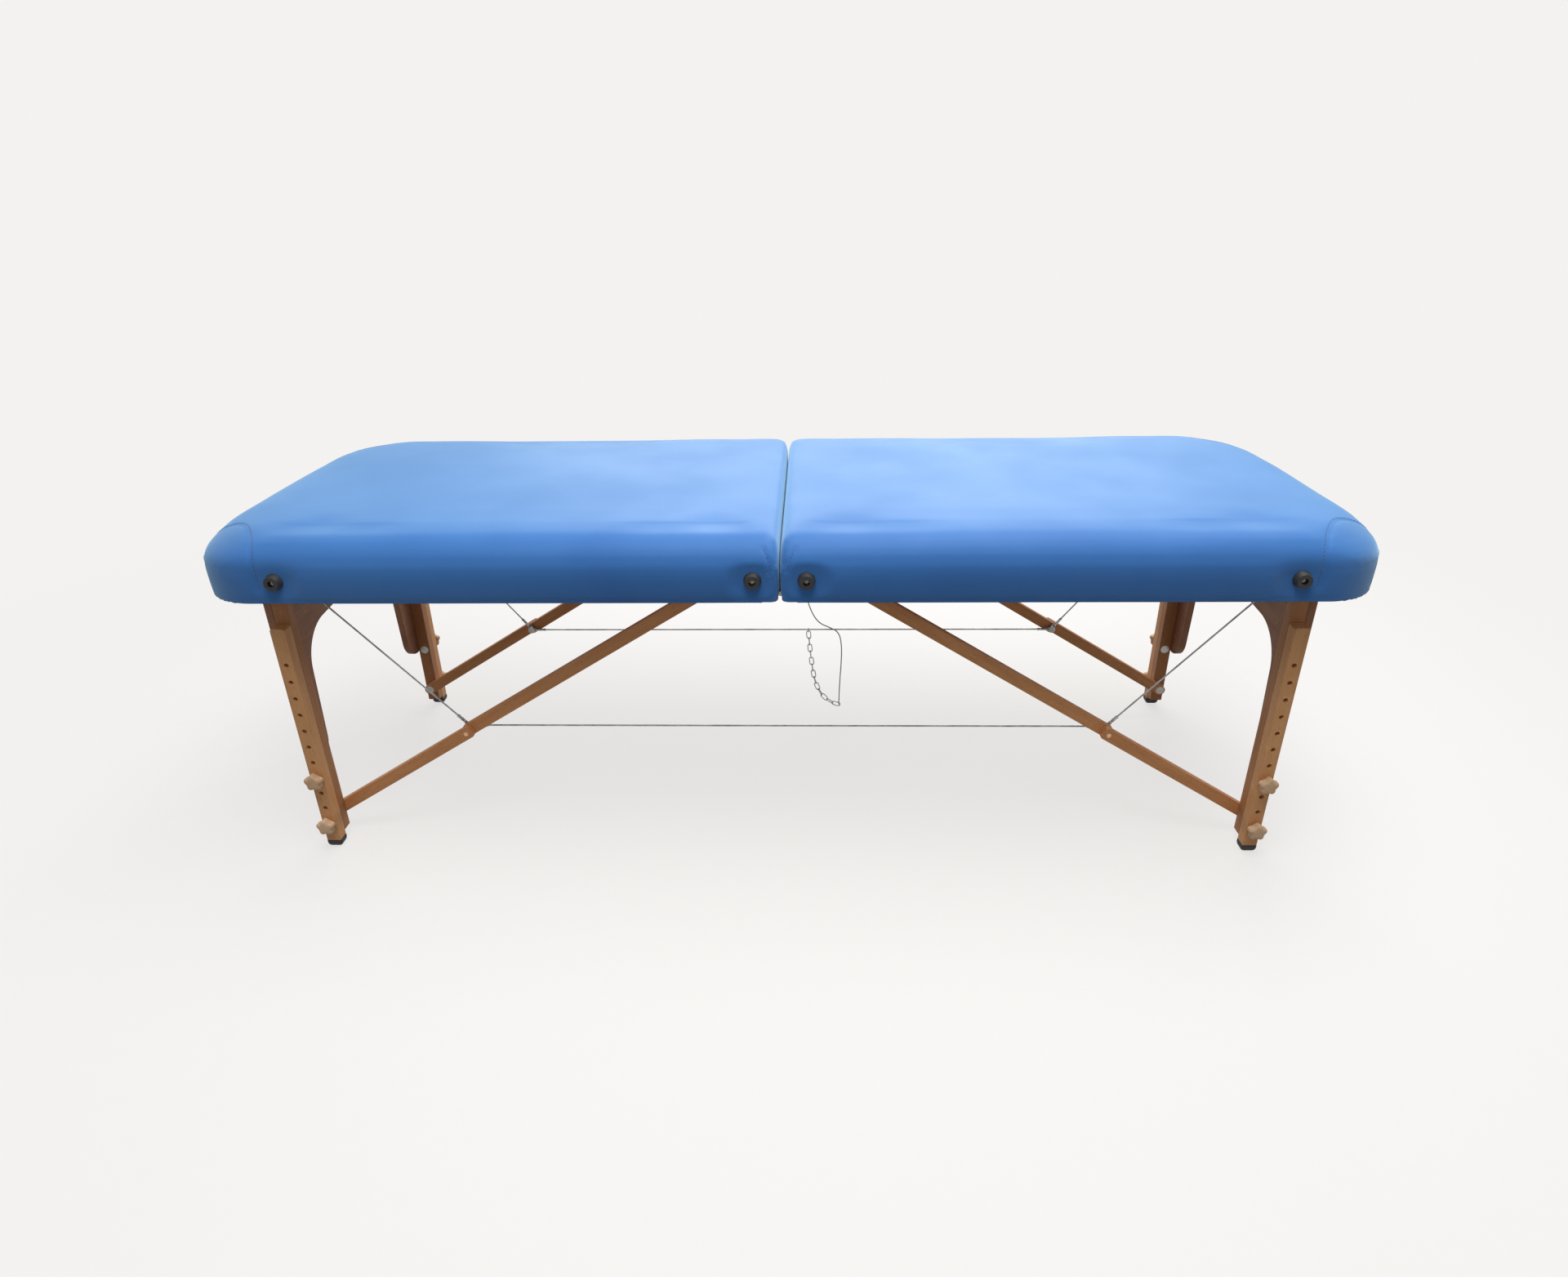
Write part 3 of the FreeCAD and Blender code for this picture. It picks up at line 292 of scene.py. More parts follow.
def vinyl_material():
    """Soft blue vinyl: pebbled grain, faint creases, slow changes of tone and a few worn specks."""
    shade = Shader("vinyl", Specular_IOR_Level=0.22, Sheen_Weight=0.8, Sheen_Roughness=0.5,
                   Sheen_Tint=VINYL_SHEEN)
    place = shade.place()
    slow = shade.noise(place, scale=5, detail=3, rough=0.5)
    pebbles = shade.cells(place, scale=620)
    fine = shade.noise(place, scale=1900, detail=2, rough=0.6)
    creases = shade.noise(shade.place((1.6, 1, 1)), scale=34, detail=4, rough=0.55, warp=0.4)
    specks = shade.noise(place, scale=420, detail=3, rough=0.7)
    tone = shade.mix(shade.span(slow, 0.35, 0.65), VINYL_LIGHT, VINYL_DEEP)
    grained = shade.mix(shade.span(pebbles, 0.0, 0.12, 0.22, 0.0), tone, VINYL_GROOVE)
    from_spot = shade.vector("SUBTRACT", place, metres(*WORN_SPOT))[0]
    away = shade.vector("LENGTH", shade.vector("MULTIPLY", from_spot, WORN_SQUEEZE)[0])["Value"]
    rubbed = shade.math("SUBTRACT", specks, shade.span(away, 0, 1, 0, 0.3))
    worn = shade.mix(shade.span(rubbed, 0.58, 0.62), grained, VINYL_WORN)
    relief = shade.bump(shade.span(pebbles, 0.0, 0.16), strength=0.16, depth=0.00025)
    relief = shade.bump(fine, strength=0.08, depth=0.0002, normal=relief)
    relief = shade.bump(creases, strength=0.10, depth=0.0012, normal=relief)
    return shade.finish(worn, shade.span(slow, 0.3, 0.7, 0.50, 0.60), relief)


def thread_material():
    shade = Shader("thread", Sheen_Weight=0.2)
    twist = shade.noise(shade.place(), scale=2400)
    tone = shade.mix(twist, THREAD_DARK, THREAD_LIGHT)
    rough = shade.span(twist, 0.3, 0.7, 0.55, 0.75)
    return shade.finish(tone, rough, shade.bump(twist, strength=0.5, depth=0.0002))


def rubber_material():
    shade = Shader("rubber")
    pores = shade.noise(shade.place(), scale=700, detail=3, rough=0.6)
    dust = shade.noise(shade.place(), scale=60, detail=4, rough=0.6)
    tone = shade.mix(shade.span(dust, 0.5, 0.75), RUBBER_DARK, RUBBER_DUSTY)
    rough = shade.span(pores, 0.3, 0.7, 0.5, 0.75)
    return shade.finish(tone, rough, shade.bump(pores, strength=0.3, depth=0.0003))


def metal_material(name, bright, dull, rough, stretch=(1, 1, 1)):
    shade = Shader(name, Metallic=1.0)
    brushed = shade.noise(shade.place(stretch), scale=480, detail=4, rough=0.6)
    spots = shade.noise(shade.place(), scale=45, detail=4, rough=0.65)
    tone = shade.mix(shade.span(spots, 0.4, 0.7), bright, dull)
    uneven = shade.span(brushed, 0.3, 0.7, rough - 0.08, rough + 0.1)
    return shade.finish(tone, uneven, shade.bump(brushed, strength=0.12, depth=0.0002))


def webbing_material():
    """Woven strap: diagonal ribs that cross."""
    shade = Shader("webbing", Sheen_Weight=0.25)
    rising = shade.wave(shade.place(turn=(0, WEAVE_SLANT, 0)), scale=260)
    falling = shade.wave(shade.place(turn=(0, -WEAVE_SLANT, 0)), scale=260)
    weave = shade.math("MAXIMUM", rising, falling)
    fuzz = shade.noise(shade.place(), scale=900)
    tone = shade.mix(weave, STRAP_DARK, STRAP_LIGHT)
    rough = shade.span(fuzz, 0.3, 0.7, 0.7, 0.9)
    return shade.finish(tone, rough, shade.bump(weave, strength=0.6, depth=0.0006))


def foam_material():
    shade = Shader("foam")
    pores = shade.cells(shade.place(), scale=800)
    tone = shade.mix(shade.span(pores, 0, 0.3), FOAM_DARK, FOAM_LIGHT)
    rough = shade.span(pores, 0, 0.4, 0.95, 0.8)
    return shade.finish(tone, rough, shade.bump(pores, strength=0.6, depth=0.0006))


vinyl = vinyl_material()
thread = thread_material()
rubber = rubber_material()
steel = metal_material("steel", colour(158, 154, 148), colour(120, 116, 112), rough=0.4, stretch=(6, 1, 1))
copper = metal_material("copper", colour(206, 166, 134), colour(164, 120, 92), rough=0.42)
cable_steel = metal_material("cable", colour(168, 168, 170), colour(120, 120, 124), rough=0.34)
dark_steel = metal_material("dark_cable", colour(120, 120, 124), colour(78, 78, 84), rough=0.38)
webbing = webbing_material()
foam = foam_material()
plywood = wood_material("plywood", PLY_LIGHT, PLY_DARK, ALONG_X)
# Painted shade: a darker copy of the beech for the posts
shaded_beech_post = wood_material("shaded_beech_post", SHADED_POST_LIGHT, SHADED_POST_DARK, ALONG_Z)
# Painted light: a lighter copy of the beech for the bar
lit_beech_bar = wood_material("lit_beech_bar", LIT_BAR_LIGHT, LIT_BAR_DARK, ALONG_Z)
beech_long = wood_material("beech_long", BEECH_LIGHT, BEECH_DARK, ALONG_X)
beech_cross = wood_material("beech_cross", BEECH_LIGHT, BEECH_DARK, ALONG_Y)
beech_panel = wood_material("beech_panel", PANEL_LIGHT, PANEL_DARK, ALONG_Y)
beech_brace = {}
for side_name, side_sign in SIDES:
    slope = (0, side_sign * BRACE_SLOPE, 0)
    beech_brace[side_name] = wood_material(f"beech_{side_name}_brace", BEECH_LIGHT, BEECH_DARK, slope)
pale_wood = wood_material("pale_wood", PALE_LIGHT, PALE_DARK, ALONG_Y)


# Making pieces
def new_piece(name, vertices, faces, surface, smooth=True):
    mesh = bpy.data.meshes.new(name)
    mesh.from_pydata([tuple(spot) for spot in vertices], [], faces)
    mesh.materials.append(surface)
    mesh.update()
    if smooth:
        mesh.polygons.foreach_set("use_smooth", [True] * len(mesh.polygons))
    piece = bpy.data.objects.new(name, mesh)
    scene.collection.objects.link(piece)
    return piece


def evaluated_mesh(item):
    """A new mesh of what a curve or a piece with modifiers comes to."""
    return bpy.data.meshes.new_from_object(item.evaluated_get(bpy.context.evaluated_depsgraph_get()))


def ring_spots(centre, radius, first, second, steps):
    """Points round a circle in the plane of two directions."""
    turns = [2 * math.pi * step / steps for step in range(steps)]
    return [centre + (first * math.cos(turn) + second * math.sin(turn)) * radius for turn in turns]


class Parts:
    """Vertices and faces of several tubes and lofts that make one piece."""

    def __init__(self):
        self.vertices = []
        self.faces = []

    def tube(self, spots, radii, sides=8, closed=False, normal=None):
        """A round tube along points, with a radius for each of them."""
        rings = []
        side = None
        for k, spot in enumerate(spots):
            before = spots[k - 1] if closed or k else spot
            after = spots[(k + 1) % len(spots)] if closed or k < len(spots) - 1 else spot
            along = (after - before).normalized()
            if normal is not None:
                side = Vector(normal)
            elif side is None:
                side = along.orthogonal().normalized()
            side = (side - along * side.dot(along)).normalized()
            rings.append(ring_spots(spot, radii[k], side, along.cross(side), sides))
        self.loft(rings, closed)

    def loft(self, rings, closed=False):
        """A form through rings of points, with a cap at each end unless it closes on itself."""
        base = len(self.vertices)
        count = len(rings[0])
        last = base + (len(rings) - 1) * count
        for ring in rings:
            self.vertices += ring
        if not closed:
            self.faces.append(tuple(range(base + count - 1, base - 1, -1)))
        for k in range(len(rings) if closed else len(rings) - 1):
            lower = base + k * count
            upper = base + (k + 1) % len(rings) * count
            for j in range(count):
                following = (j + 1) % count
                self.faces.append((lower + j, lower + following, upper + following, upper + j))
        if not closed:
            self.faces.append(tuple(range(last, last + count)))

    def piece(self, name, surface):
        return new_piece(name, self.vertices, self.faces, surface)


def spline_points(spots):
    """Points of a smooth curve that has the given control points."""
    curve = bpy.data.curves.new("route", "CURVE")
    curve.dimensions = "3D"
    curve.resolution_u = 8
    spline = curve.splines.new("NURBS")
    spline.points.add(len(spots) - 1)
    for point, spot in zip(spline.points, spots):
        point.co = (*spot, 1)
    spline.order_u = 3
    spline.use_endpoint_u = True
    holder = bpy.data.objects.new("route", curve)
    scene.collection.objects.link(holder)
    line = evaluated_mesh(holder)
    points = [vertex.co.copy() for vertex in line.vertices]
    bpy.data.objects.remove(holder)
    bpy.data.curves.remove(curve)
    bpy.data.meshes.remove(line)
    return points


def length_of(points):
    return sum((b - a).length for a, b in zip(points, points[1:]))


def spread_along(points, count):
    """Points a like distance apart along a line of points."""
    distances = [0.0]
    for a, b in zip(points, points[1:]):
        distances.append(distances[-1] + (b - a).length)
    stops = np.linspace(0, distances[-1], count)
    axes = [np.interp(stops, distances, [point[axis] for point in points]) for axis in range(3)]
    return [Vector(spot) for spot in zip(*axes)]


# Hanging wire and chain, with their routes as places along the table and heights
WIRE_ROUTE = [(16, 506.2), (18, 459.7), (21, 409.2), (26, 353.6), (35, 298.1), (47, 255.6), (64, 228.4),
              (88, 218.3), (108, 206.2), (114, 172.2), (113, 127.2), (110, 82.2), (109, 36.9)]
CHAIN_ROUTE = [(41, 210.7), (44, 169.2), (48, 137.2), (51, 109.2), (56, 85.2), (65, 62.2), (78, 44.2),
               (93, 33.2), (110, 28.2)]


def link_spots(middle, run, across, pitch):
    """An oval chain link round its middle."""
    steps = 8
    bend = (LINK_INNER + LINK_WIRE) * MM
    straight = run * (pitch / 2 + LINK_OVERLAP * MM - bend)
    spots = []
    for way in (1, -1):
        for step in range(steps + 1):
            turn = math.pi * (step / steps - 0.5)
            out = across * (-way * bend * math.sin(turn)) + run * (way * bend * math.cos(turn))
            spots.append(middle + straight * way + out)
    return spots


def make_chain():
    side = Vector((0, 1, 0))
    upward = Vector((0, 0, 1))
    route = spline_points([metres(x, WIRE_Y, z) for x, z in WIRE_ROUTE])
    tube = Parts()
    tube.tube(route, [WIRE_RADIUS * MM] * len(route), sides=10, normal=side)
    wire = tube.piece("hanging_wire", dark_steel)
    chain_line = spline_points([metres(x, LINK_Y, z) for x, z in CHAIN_ROUTE])
    stops = spread_along(chain_line, LINK_COUNT + 1)
    links = Parts()
    for k, (start, end) in enumerate(zip(stops, stops[1:])):
        run = (end - start).normalized()
        across = side if k % 2 else run.cross(side)
        spots = link_spots((start + end) / 2, run, across, (end - start).length)
        links.tube(spots, [LINK_WIRE * MM] * len(spots), closed=True, normal=run.cross(across))
    first_run = (stops[1] - stops[0]).normalized()
    last_run = (stops[-1] - stops[-2]).normalized()
    inside = LINK_OVERLAP * MM
    low_spots = {"cable_ring": stops[0] + first_run * inside, "wire_ring": stops[-1] - last_run * inside}
    rings = []
    for name, low in low_spots.items():
        spots = ring_spots(low + upward * RING_RADIUS * MM, RING_RADIUS * MM, side, upward, steps=20)
        ring = Parts()
        ring.tube(spots, [LINK_WIRE * MM] * len(spots), closed=True, normal=(1, 0, 0))
        rings.append(ring.piece(name, cable_steel))
    chain = links.piece("hanging_links", cable_steel)
    for piece in (wire, chain, *rings):
        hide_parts("hanging_chain")
        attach(piece, "right_half")
        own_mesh(piece)


make_chain()

# Stay and link cables, with the sleeve at each end as distances past the loop and radii
STRANDS_BEGIN = 20
SLEEVE = ((2.4, 1.9), (3.2, 2.9), (7.5, 3.0), (9.5, 2.45), (12, 2.45), (14, 3.0), (16.5, 2.45),
          (18.5, 2.45), (22.5, 3.0), (24, 2.8), (24.6, 1.9))


def add_strands(parts, start, end, radius):
    """Strands laid round a straight line."""
    strands = 6
    lay_length = 20 * MM
    steps_a_turn = 8
    lay_radius = radius * 0.62
    strand_radius = radius * 0.38
    run = (end - start).normalized()
    aside = run.orthogonal().normalized()
    up = run.cross(aside)
    distance = (end - start).length
    turns = distance / lay_length
    steps = int(turns * steps_a_turn)
    for strand in range(strands):
        spots = []
        for step in range(steps + 1):
            share = step / steps
            turn = 2 * math.pi * (turns * share + strand / strands)
            out = (aside * math.cos(turn) + up * math.sin(turn)) * lay_radius
            spots.append(start + run * (distance * share) + out)
        parts.tube(spots, [strand_radius] * len(spots), sides=5)


def add_eye(parts, centre, run, radius):
    """The cable's end: a loop round its pin, two strands drawn together, and a crimped sleeve."""
    opening = 40
    steps = 16
    strand_gap = 1.3 * MM
    into_sleeve = 3.2 * MM
    side = Vector((0, 1, 0))
    across = run.cross(side).normalized()
    loop = LOOP_RADIUS * MM
    sleeve = centre + run * (loop + into_sleeve)
    spots = [sleeve + across * strand_gap]
    for step in range(steps + 1):
        turn = math.radians(opening + step * ((360 - 2 * opening) / steps))
        spots.append(centre + run * (loop * math.cos(turn)) + across * (loop * math.sin(turn)))
    spots.append(sleeve - across * strand_gap)
    parts.tube(spots, [radius] * len(spots), normal=side)
    crimped = [centre + run * (loop + distance * MM) for distance, width in SLEEVE]
    parts.tube(crimped, [width * MM for distance, width in SLEEVE], sides=14, normal=side)


def add_cable(parts, start, end, cut=None):
    """A cable between two pins, or as far as a cut in its middle."""
    run = (end - start).normalized()
    eye = run * (LOOP_RADIUS + STRANDS_BEGIN) * MM
    radius = CABLE_RADIUS * MM
    add_eye(parts, start, run, radius)
    if cut is None:
        add_strands(parts, start + eye, end - eye, radius)
        add_eye(parts, end, -run, radius)
    else:
        add_strands(parts, start + eye, cut, radius)


def make_cables(side, sign):
    """The stays of one half, and its half of the link cables."""
    stays = Parts()
    links = Parts()
    for way in FRONT_AND_BACK:
        add_cable(stays, metres(sign * ELBOW[0], way * STAY_Y_AT_ELBOW, ELBOW[1]),
                  metres(sign * LEG_X, way * STAY_Y_AT_LEG, PIVOT_Z))
        add_cable(links, metres(sign * ELBOW[0], way * LINK_Y, ELBOW[1]),
                  metres(-sign * ELBOW[0], way * LINK_Y, ELBOW[1]), metres(0, way * LINK_Y, ELBOW[1]))
    stay = stays.piece(f"{side}_stays", cable_steel)
    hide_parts(f"{side}_stay_cables")
    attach(stay, f"{side}_half")
    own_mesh(stay)
    link = links.piece(f"{side}_links", cable_steel)
    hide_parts("link_cables")
    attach(link, f"{side}_upper_braces")
    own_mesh(link)


for side_name, side_sign in SIDES:
    make_cables(side_name, side_sign)

# Cushions: their making, and the sewn lines at the back of the right pad, which the front mirrors
VOXEL = 8 * MM
SWELL_CAP = 5 * MM
SWELL_FRAMES = 20
EVENING_ROUNDS = 12
GROOVE_DEPTH = 1.6 * MM
GROOVE_WIDTH = 3.2 * MM
GROOVE_POINTS = 200
STITCH = 4.2 * MM
STITCH_GAP = 1.6 * MM
THREAD_RADIUS = 0.45 * MM
SEAM = [(808, 325, 532), (808, 325, 552), (808, 325, 570), (809, 320, 586), (814, 306, 597),
        (822, 288, 601), (840, 258, 603), (856, 240, 603), (874, 232, 602), (893, 230, 600),
        (910, 230, 594), (921, 230, 582), (925, 230, 566), (925, 230, 548), (925, 230, 532)]
SEAM_STITCH = [(803, 325, 532), (803, 325, 552), (803, 325, 570), (804, 320, 586), (809, 304, 597),
               (817, 285, 601), (836, 254, 603), (853, 235, 603), (872, 227, 602), (893, 225, 600),
               (910, 225, 594), (921, 225, 582), (925, 225, 566), (925, 225, 548), (925, 225, 532)]
DART = [(24, 313, 593), (21, 318, 587), (18, 321, 581), (15, 324, 572), (12, 325, 560)]


def outline(near, far, front, back, near_radius, far_radii, end_bow, height):
    """A rectangle with rounded corners and a bowed far end, as points round it."""
    corner_steps = 12
    end_steps = 16
    bowed_half = 230
    spots = []
    corners = ((near, -front, near_radius, 180), (far, -front, far_radii[0], 270),
               (far, back, far_radii[1], 0), (near, back, near_radius, 90))
    for x, y, radius, start in corners:
        if start == 0:
            low = far_radii[0] - front
            high = back - far_radii[1]
            spots += [(far, low + (high - low) * step / end_steps) for step in range(1, end_steps)]
        centre_x = x + (radius if x == near else -radius)
        centre_y = y + (radius if y < 0 else -radius)
        for step in range(corner_steps + 1):
            turn = math.radians(start + step * 90 / corner_steps)
            spots.append((centre_x + radius * math.cos(turn), centre_y + radius * math.sin(turn)))
    bowed = []
    for x, y in spots:
        share = max(1 - (y / bowed_half) ** 2, 0) if x > far - min(far_radii) else 0
        bowed.append(metres(x + end_bow * share, y, height))
    return bowed


def cushion_form():
    """The right pad before it swells: bowed sides, a rolled edge, full corners and a low crown."""
    front_roll = 50
    back_roll = 34
    drop = 60
    end_roll = 46
    seam_roll = 16
    seam_start = 0.2
    side_bow = 6
    end_bow = 5
    bow_rise = 40
    deck = 567
    rim = PAD_TOP + 1
    fuller = 68
    small_corner = 14
    hem = ((0.4, 0), (-0.6, 2), (-2.5, 10), (-4.6, 22))
    crown = ((40, 0.8), (90, 1.8))
    sections = [(0, side_bow + inset, PAD_LOW + rise) for inset, rise in hem]
    for angle in range(0, 91, 10):
        turn = math.radians(angle)
        sections.append((1 - math.cos(turn), 0, rim - drop + drop * math.sin(turn)))
    sections += [(1, inset, rim + rise) for inset, rise in crown]
    rings = []
    for rolled, extra, height in sections:
        front_inset = front_roll * rolled - side_bow + extra
        back_inset = back_roll * rolled - side_bow + extra
        top_inset = extra if height > rim else 0
        seam_inset = seam_roll * max(rolled - seam_start, 0) + top_inset
        risen = min(max(height - rim + end_roll, 0) / end_roll, 1)
        end_inset = end_roll * (1 - math.sqrt(1 - risen * risen)) + top_inset
        raised = max(height - deck, 0) / (rim - deck)
        corner = DECK_CORNER + fuller * raised * raised
        radii = [max(corner - max(inset, end_inset), small_corner) for inset in (front_inset, back_inset)]
        bow = end_bow * min((height - PAD_LOW) / bow_rise, 1)
        rings.append(outline(PAD_SEAM + seam_inset, PAD_END - end_inset, PAD_SIDE - front_inset,
                             PAD_SIDE - back_inset, small_corner, radii, bow, height))
    form = Parts()
    form.loft(rings)
    return form.piece("cushion_form", vinyl)


def held_share(spot):
    """How firmly the cloth is held: along its lower edge and under the bumpers and the handle's ends."""
    hem = 9
    side_band = 12
    bumper_reach = 26
    bumper_fade = 10
    patch_x = 12
    patch_z = 13
    patch_reach = 14
    patch_fade = 8
    x, y, z = (part / MM for part in spot)
    held = 1.0 if z < PAD_LOW + hem else 0.0
    if y < -PAD_SIDE + side_band:
        for place in BUMPERS:
            away = math.hypot(x - place, z - BUMPER_Z)
            held = max(held, min(max((bumper_reach - away) / bumper_fade, 0), 1))
    if y > PAD_SIDE - side_band:
        for place in HANDLE_ENDS:
            away = math.hypot(max(abs(x - place) - patch_x, 0), max(abs(z - BUMPER_Z) - patch_z, 0))
            held = max(held, min(max((patch_reach - away) / patch_fade, 0), 1))
    return held


def remeshed(form):
    """The form as even quads."""
    modifier = form.modifiers.new("even", "REMESH")
    modifier.mode = "VOXEL"
    modifier.voxel_size = VOXEL
    mesh = evaluated_mesh(form)
    mesh.name = "cushion"
    bpy.data.objects.remove(form)
    piece = bpy.data.objects.new("cushion", mesh)
    scene.collection.objects.link(piece)
    return piece


def read_points(mesh, what):
    """Each vertex's coordinates or normal."""
    flat = np.empty(len(mesh.vertices) * 3)
    mesh.vertices.foreach_get(what, flat)
    return flat.reshape(-1, 3)


def move_points(piece, spots):
    piece.data.vertices.foreach_set("co", spots.ravel())
    piece.data.update()


def evened(mesh, amounts):
    """Amounts at a mesh's points, evened out along its edges."""
    pairs = np.empty(len(mesh.edges) * 2, dtype=int)
    mesh.edges.foreach_get("vertices", pairs)
    first, second = pairs.reshape(-1, 2).T
    size = len(amounts)
    count = np.bincount(pairs, minlength=size)
    for _ in range(EVENING_ROUNDS):
        total = np.bincount(first, amounts[second], size) + np.bincount(second, amounts[first], size)
        amounts = (amounts + total) / (1 + count)
    return amounts


def blow_up(piece):
    """Swells the pad by cloth simulation, nowhere by more than the cap and hardly at its far end."""
    end_hold = 0.9
    seam_gap = 0.4 * MM
    start = read_points(piece.data, "co")
    group = piece.vertex_groups.new(name="held")
    for index, spot in enumerate(start):
        share = held_share(spot)
        if share > 0:
            group.add([index], share, "REPLACE")
    modifier = piece.modifiers.new("cloth", "CLOTH")
    settings = modifier.settings
    settings.quality = 5
    settings.mass = 0.3
    settings.tension_stiffness = 15
    settings.compression_stiffness = 15
    settings.shear_stiffness = 5
    settings.bending_stiffness = 2
    settings.use_pressure = True
    settings.uniform_pressure_force = 4
    settings.vertex_group_mass = "held"
    settings.effector_weights.gravity = 0
    modifier.point_cache.frame_start = 1
    modifier.point_cache.frame_end = SWELL_FRAMES
    for number in range(1, SWELL_FRAMES + 1):
        scene.frame_set(number)
    blown = piece.evaluated_get(bpy.context.evaluated_depsgraph_get())
    moved = read_points(blown.to_mesh(), "co") - start
    blown.to_mesh_clear()
    normals = read_points(piece.data, "normal")
    piece.modifiers.remove(modifier)
    scene.frame_set(1)
    free = 1 - end_hold * np.clip(normals[:, 0], 0, 1)
    outward = evened(piece.data, np.clip(np.sum(moved * normals, axis=1), 0, SWELL_CAP) * free)
    finished = start + normals * outward[:, None]
    finished[:, 0] = np.maximum(finished[:, 0], seam_gap)
    move_points(piece, finished)


def eased(amounts):
    """Amounts kept between 0 and 1, with a soft start and end."""
    share = np.clip(amounts, 0, 1)
    return share * share * (3 - 2 * share)


def drawn_in(x, y, z):
    """How far across the table points lie with the pad held in by the bumpers and the handle's ends."""
    base = PAD_SIDE + 0.2
    fade = 30
    bumper_radius = 17
    patch_x = 14
    patch_z = 15
    dips = [(place, -1, 0, 0, bumper_radius) for place in BUMPERS]
    dips += [(place, 1, patch_x, patch_z, 0) for place in HANDLE_ENDS]
    for place, way, width, height, radius in dips:
        beside = np.maximum(np.abs(x - place) - width, 0)
        above = np.maximum(np.abs(z - BUMPER_Z) - height, 0)
        kept = eased((np.hypot(beside, above) - radius) / fade)
        y = np.where(way * y > base, way * (base + (np.abs(y) - base) * kept), y)
    return y


def past_corner(x, y):
    """How far points lie past the centre of the deck's corner, along the table and across it."""
    return x - CORNER_X, np.abs(y) - CORNER_Y


def fit_to_frame(piece):
    """Draws the pad in round what is screwed to it, and keeps it close outside the deck's corners."""
    skin = DECK_CORNER + 0.1
    near_skin = DECK_CORNER - 7
    deck_top = 567.5
    bow_lost = 0.6
    bow_from, bow_over = 690, 140
    smooth_from, smooth_over = 700, 60
    smooth_low, low_fade = 553, 6
    smooth_high, high_fade = 602, 8
    x, y, z = (read_points(piece.data, "co") / MM).T
    y = drawn_in(x, y, z)
    from_x, from_y = past_corner(x, y)
    in_corner = (from_x > 0) & (from_y > 0)
    at_end = from_x > from_y
    reach = np.where(in_corner, np.hypot(from_x, from_y), np.maximum(from_x, from_y))
    kept = np.where(in_corner | ~at_end, 1 - bow_lost * eased((x - bow_from) / bow_over), 1)
    wanted = np.where(reach > skin, skin + (reach - skin) * kept, reach)
    low = (z < deck_top) & (reach > near_skin)
    wanted = np.where(low, np.maximum(wanted, skin), wanted)
    factor = wanted / np.maximum(reach, 1)
    x = np.where(in_corner | at_end & (from_x > 0), CORNER_X + from_x * factor, x)
    fitted = np.sign(y) * (CORNER_Y + from_y * factor)
    y = np.where(in_corner | ~at_end & (from_y > 0), fitted, y)
    rounded = eased((x - smooth_from) / smooth_over)
    rounded = rounded * eased((z - smooth_low) / low_fade) * eased((smooth_high - z) / high_fade)
    x, y, z = (part + (evened(piece.data, part) - part) * rounded for part in (x, y, z))
    from_x, from_y = past_corner(x, y)
    reach = np.hypot(np.maximum(from_x, 0), np.maximum(from_y, 0))
    in_corner = (from_x > 0) & (from_y > 0)
    short = (z < deck_top) & in_corner & (reach > near_skin) & (reach < skin)
    reach = np.maximum(reach, 1)
    x = np.where(short, CORNER_X + from_x * skin / reach, x)
    y = np.where(short, np.sign(y) * (CORNER_Y + from_y * skin / reach), y)
    move_points(piece, np.stack((x, y, z), axis=1) * MM)


def open_below(piece):
    """Takes the pad's underside away but for a turned-in hem, which stops at the hinge."""
    hem = 17
    underside = PAD_LOW + 2.5
    facing_down = -0.5
    middle_free = 26
    hinge_reach = 12
    hinge_half = 290
    hinge_top = PAD_LOW + 4
    work = bmesh.new()
    work.from_mesh(piece.data)
    gone = []
    for face in work.faces:
        x, y, z = (part / MM for part in face.calc_center_median())
        from_x, from_y = past_corner(x, y)
        edge = min(PAD_END - x, PAD_SIDE - abs(y))
        if from_x > 0 and from_y > 0:
            edge = DECK_CORNER - math.hypot(from_x, from_y)
        hinged = x < hinge_reach and z < hinge_top and abs(y) < hinge_half
        below = z < underside and face.normal.z < facing_down
        if hinged or below and (edge > hem or x < middle_free):
            gone.append(face)
    bmesh.ops.delete(work, geom=gone, context="FACES")
    work.to_mesh(piece.data)
    work.free()


def subdivided(piece):
    modifier = piece.modifiers.new("fine", "SUBSURF")
    modifier.levels = 1
    modifier.render_levels = 1
    mesh = evaluated_mesh(piece)
    piece.modifiers.remove(modifier)
    piece.data = mesh


def press_lines(piece, lines):
    """Sews grooves into the pad along lines of points."""
    margin = 4 * GROOVE_WIDTH
    spots = read_points(piece.data, "co")
    normals = read_points(piece.data, "normal")
    shift = np.zeros(len(spots))
    for line in lines:
        points = np.array([tuple(point) for point in line])
        close = np.all((spots > points.min(0) - margin) & (spots < points.max(0) + margin), axis=1)
        chosen = np.nonzero(close)[0]
        far = np.min(np.linalg.norm(spots[chosen][:, None, :] - points[None, :, :], axis=2), axis=1)
        shift[chosen] = np.maximum(shift[chosen], GROOVE_DEPTH * np.exp(-(far / GROOVE_WIDTH) ** 2))
    move_points(piece, spots - normals * shift[:, None])


def ripple(piece):
    """Slow dents in the right pad, which fade out at its lower edge and by the hinge."""
    height = 0.9 * MM
    waves = 7
    offset = Vector((3.7, 0, 0))
    fade_low, low_over = 0.52, 0.05
    hinge_over = 0.03
    spots = read_points(piece.data, "co")
    normals = read_points(piece.data, "normal")
    lift = np.array([noise.noise(Vector(spot) * waves + offset) for spot in spots])
    soft = np.clip((spots[:, 2] - fade_low) / low_over, 0, 1) * np.clip(spots[:, 0] / hinge_over, 0, 1)
    move_points(piece, spots + normals * (lift * soft * height)[:, None])


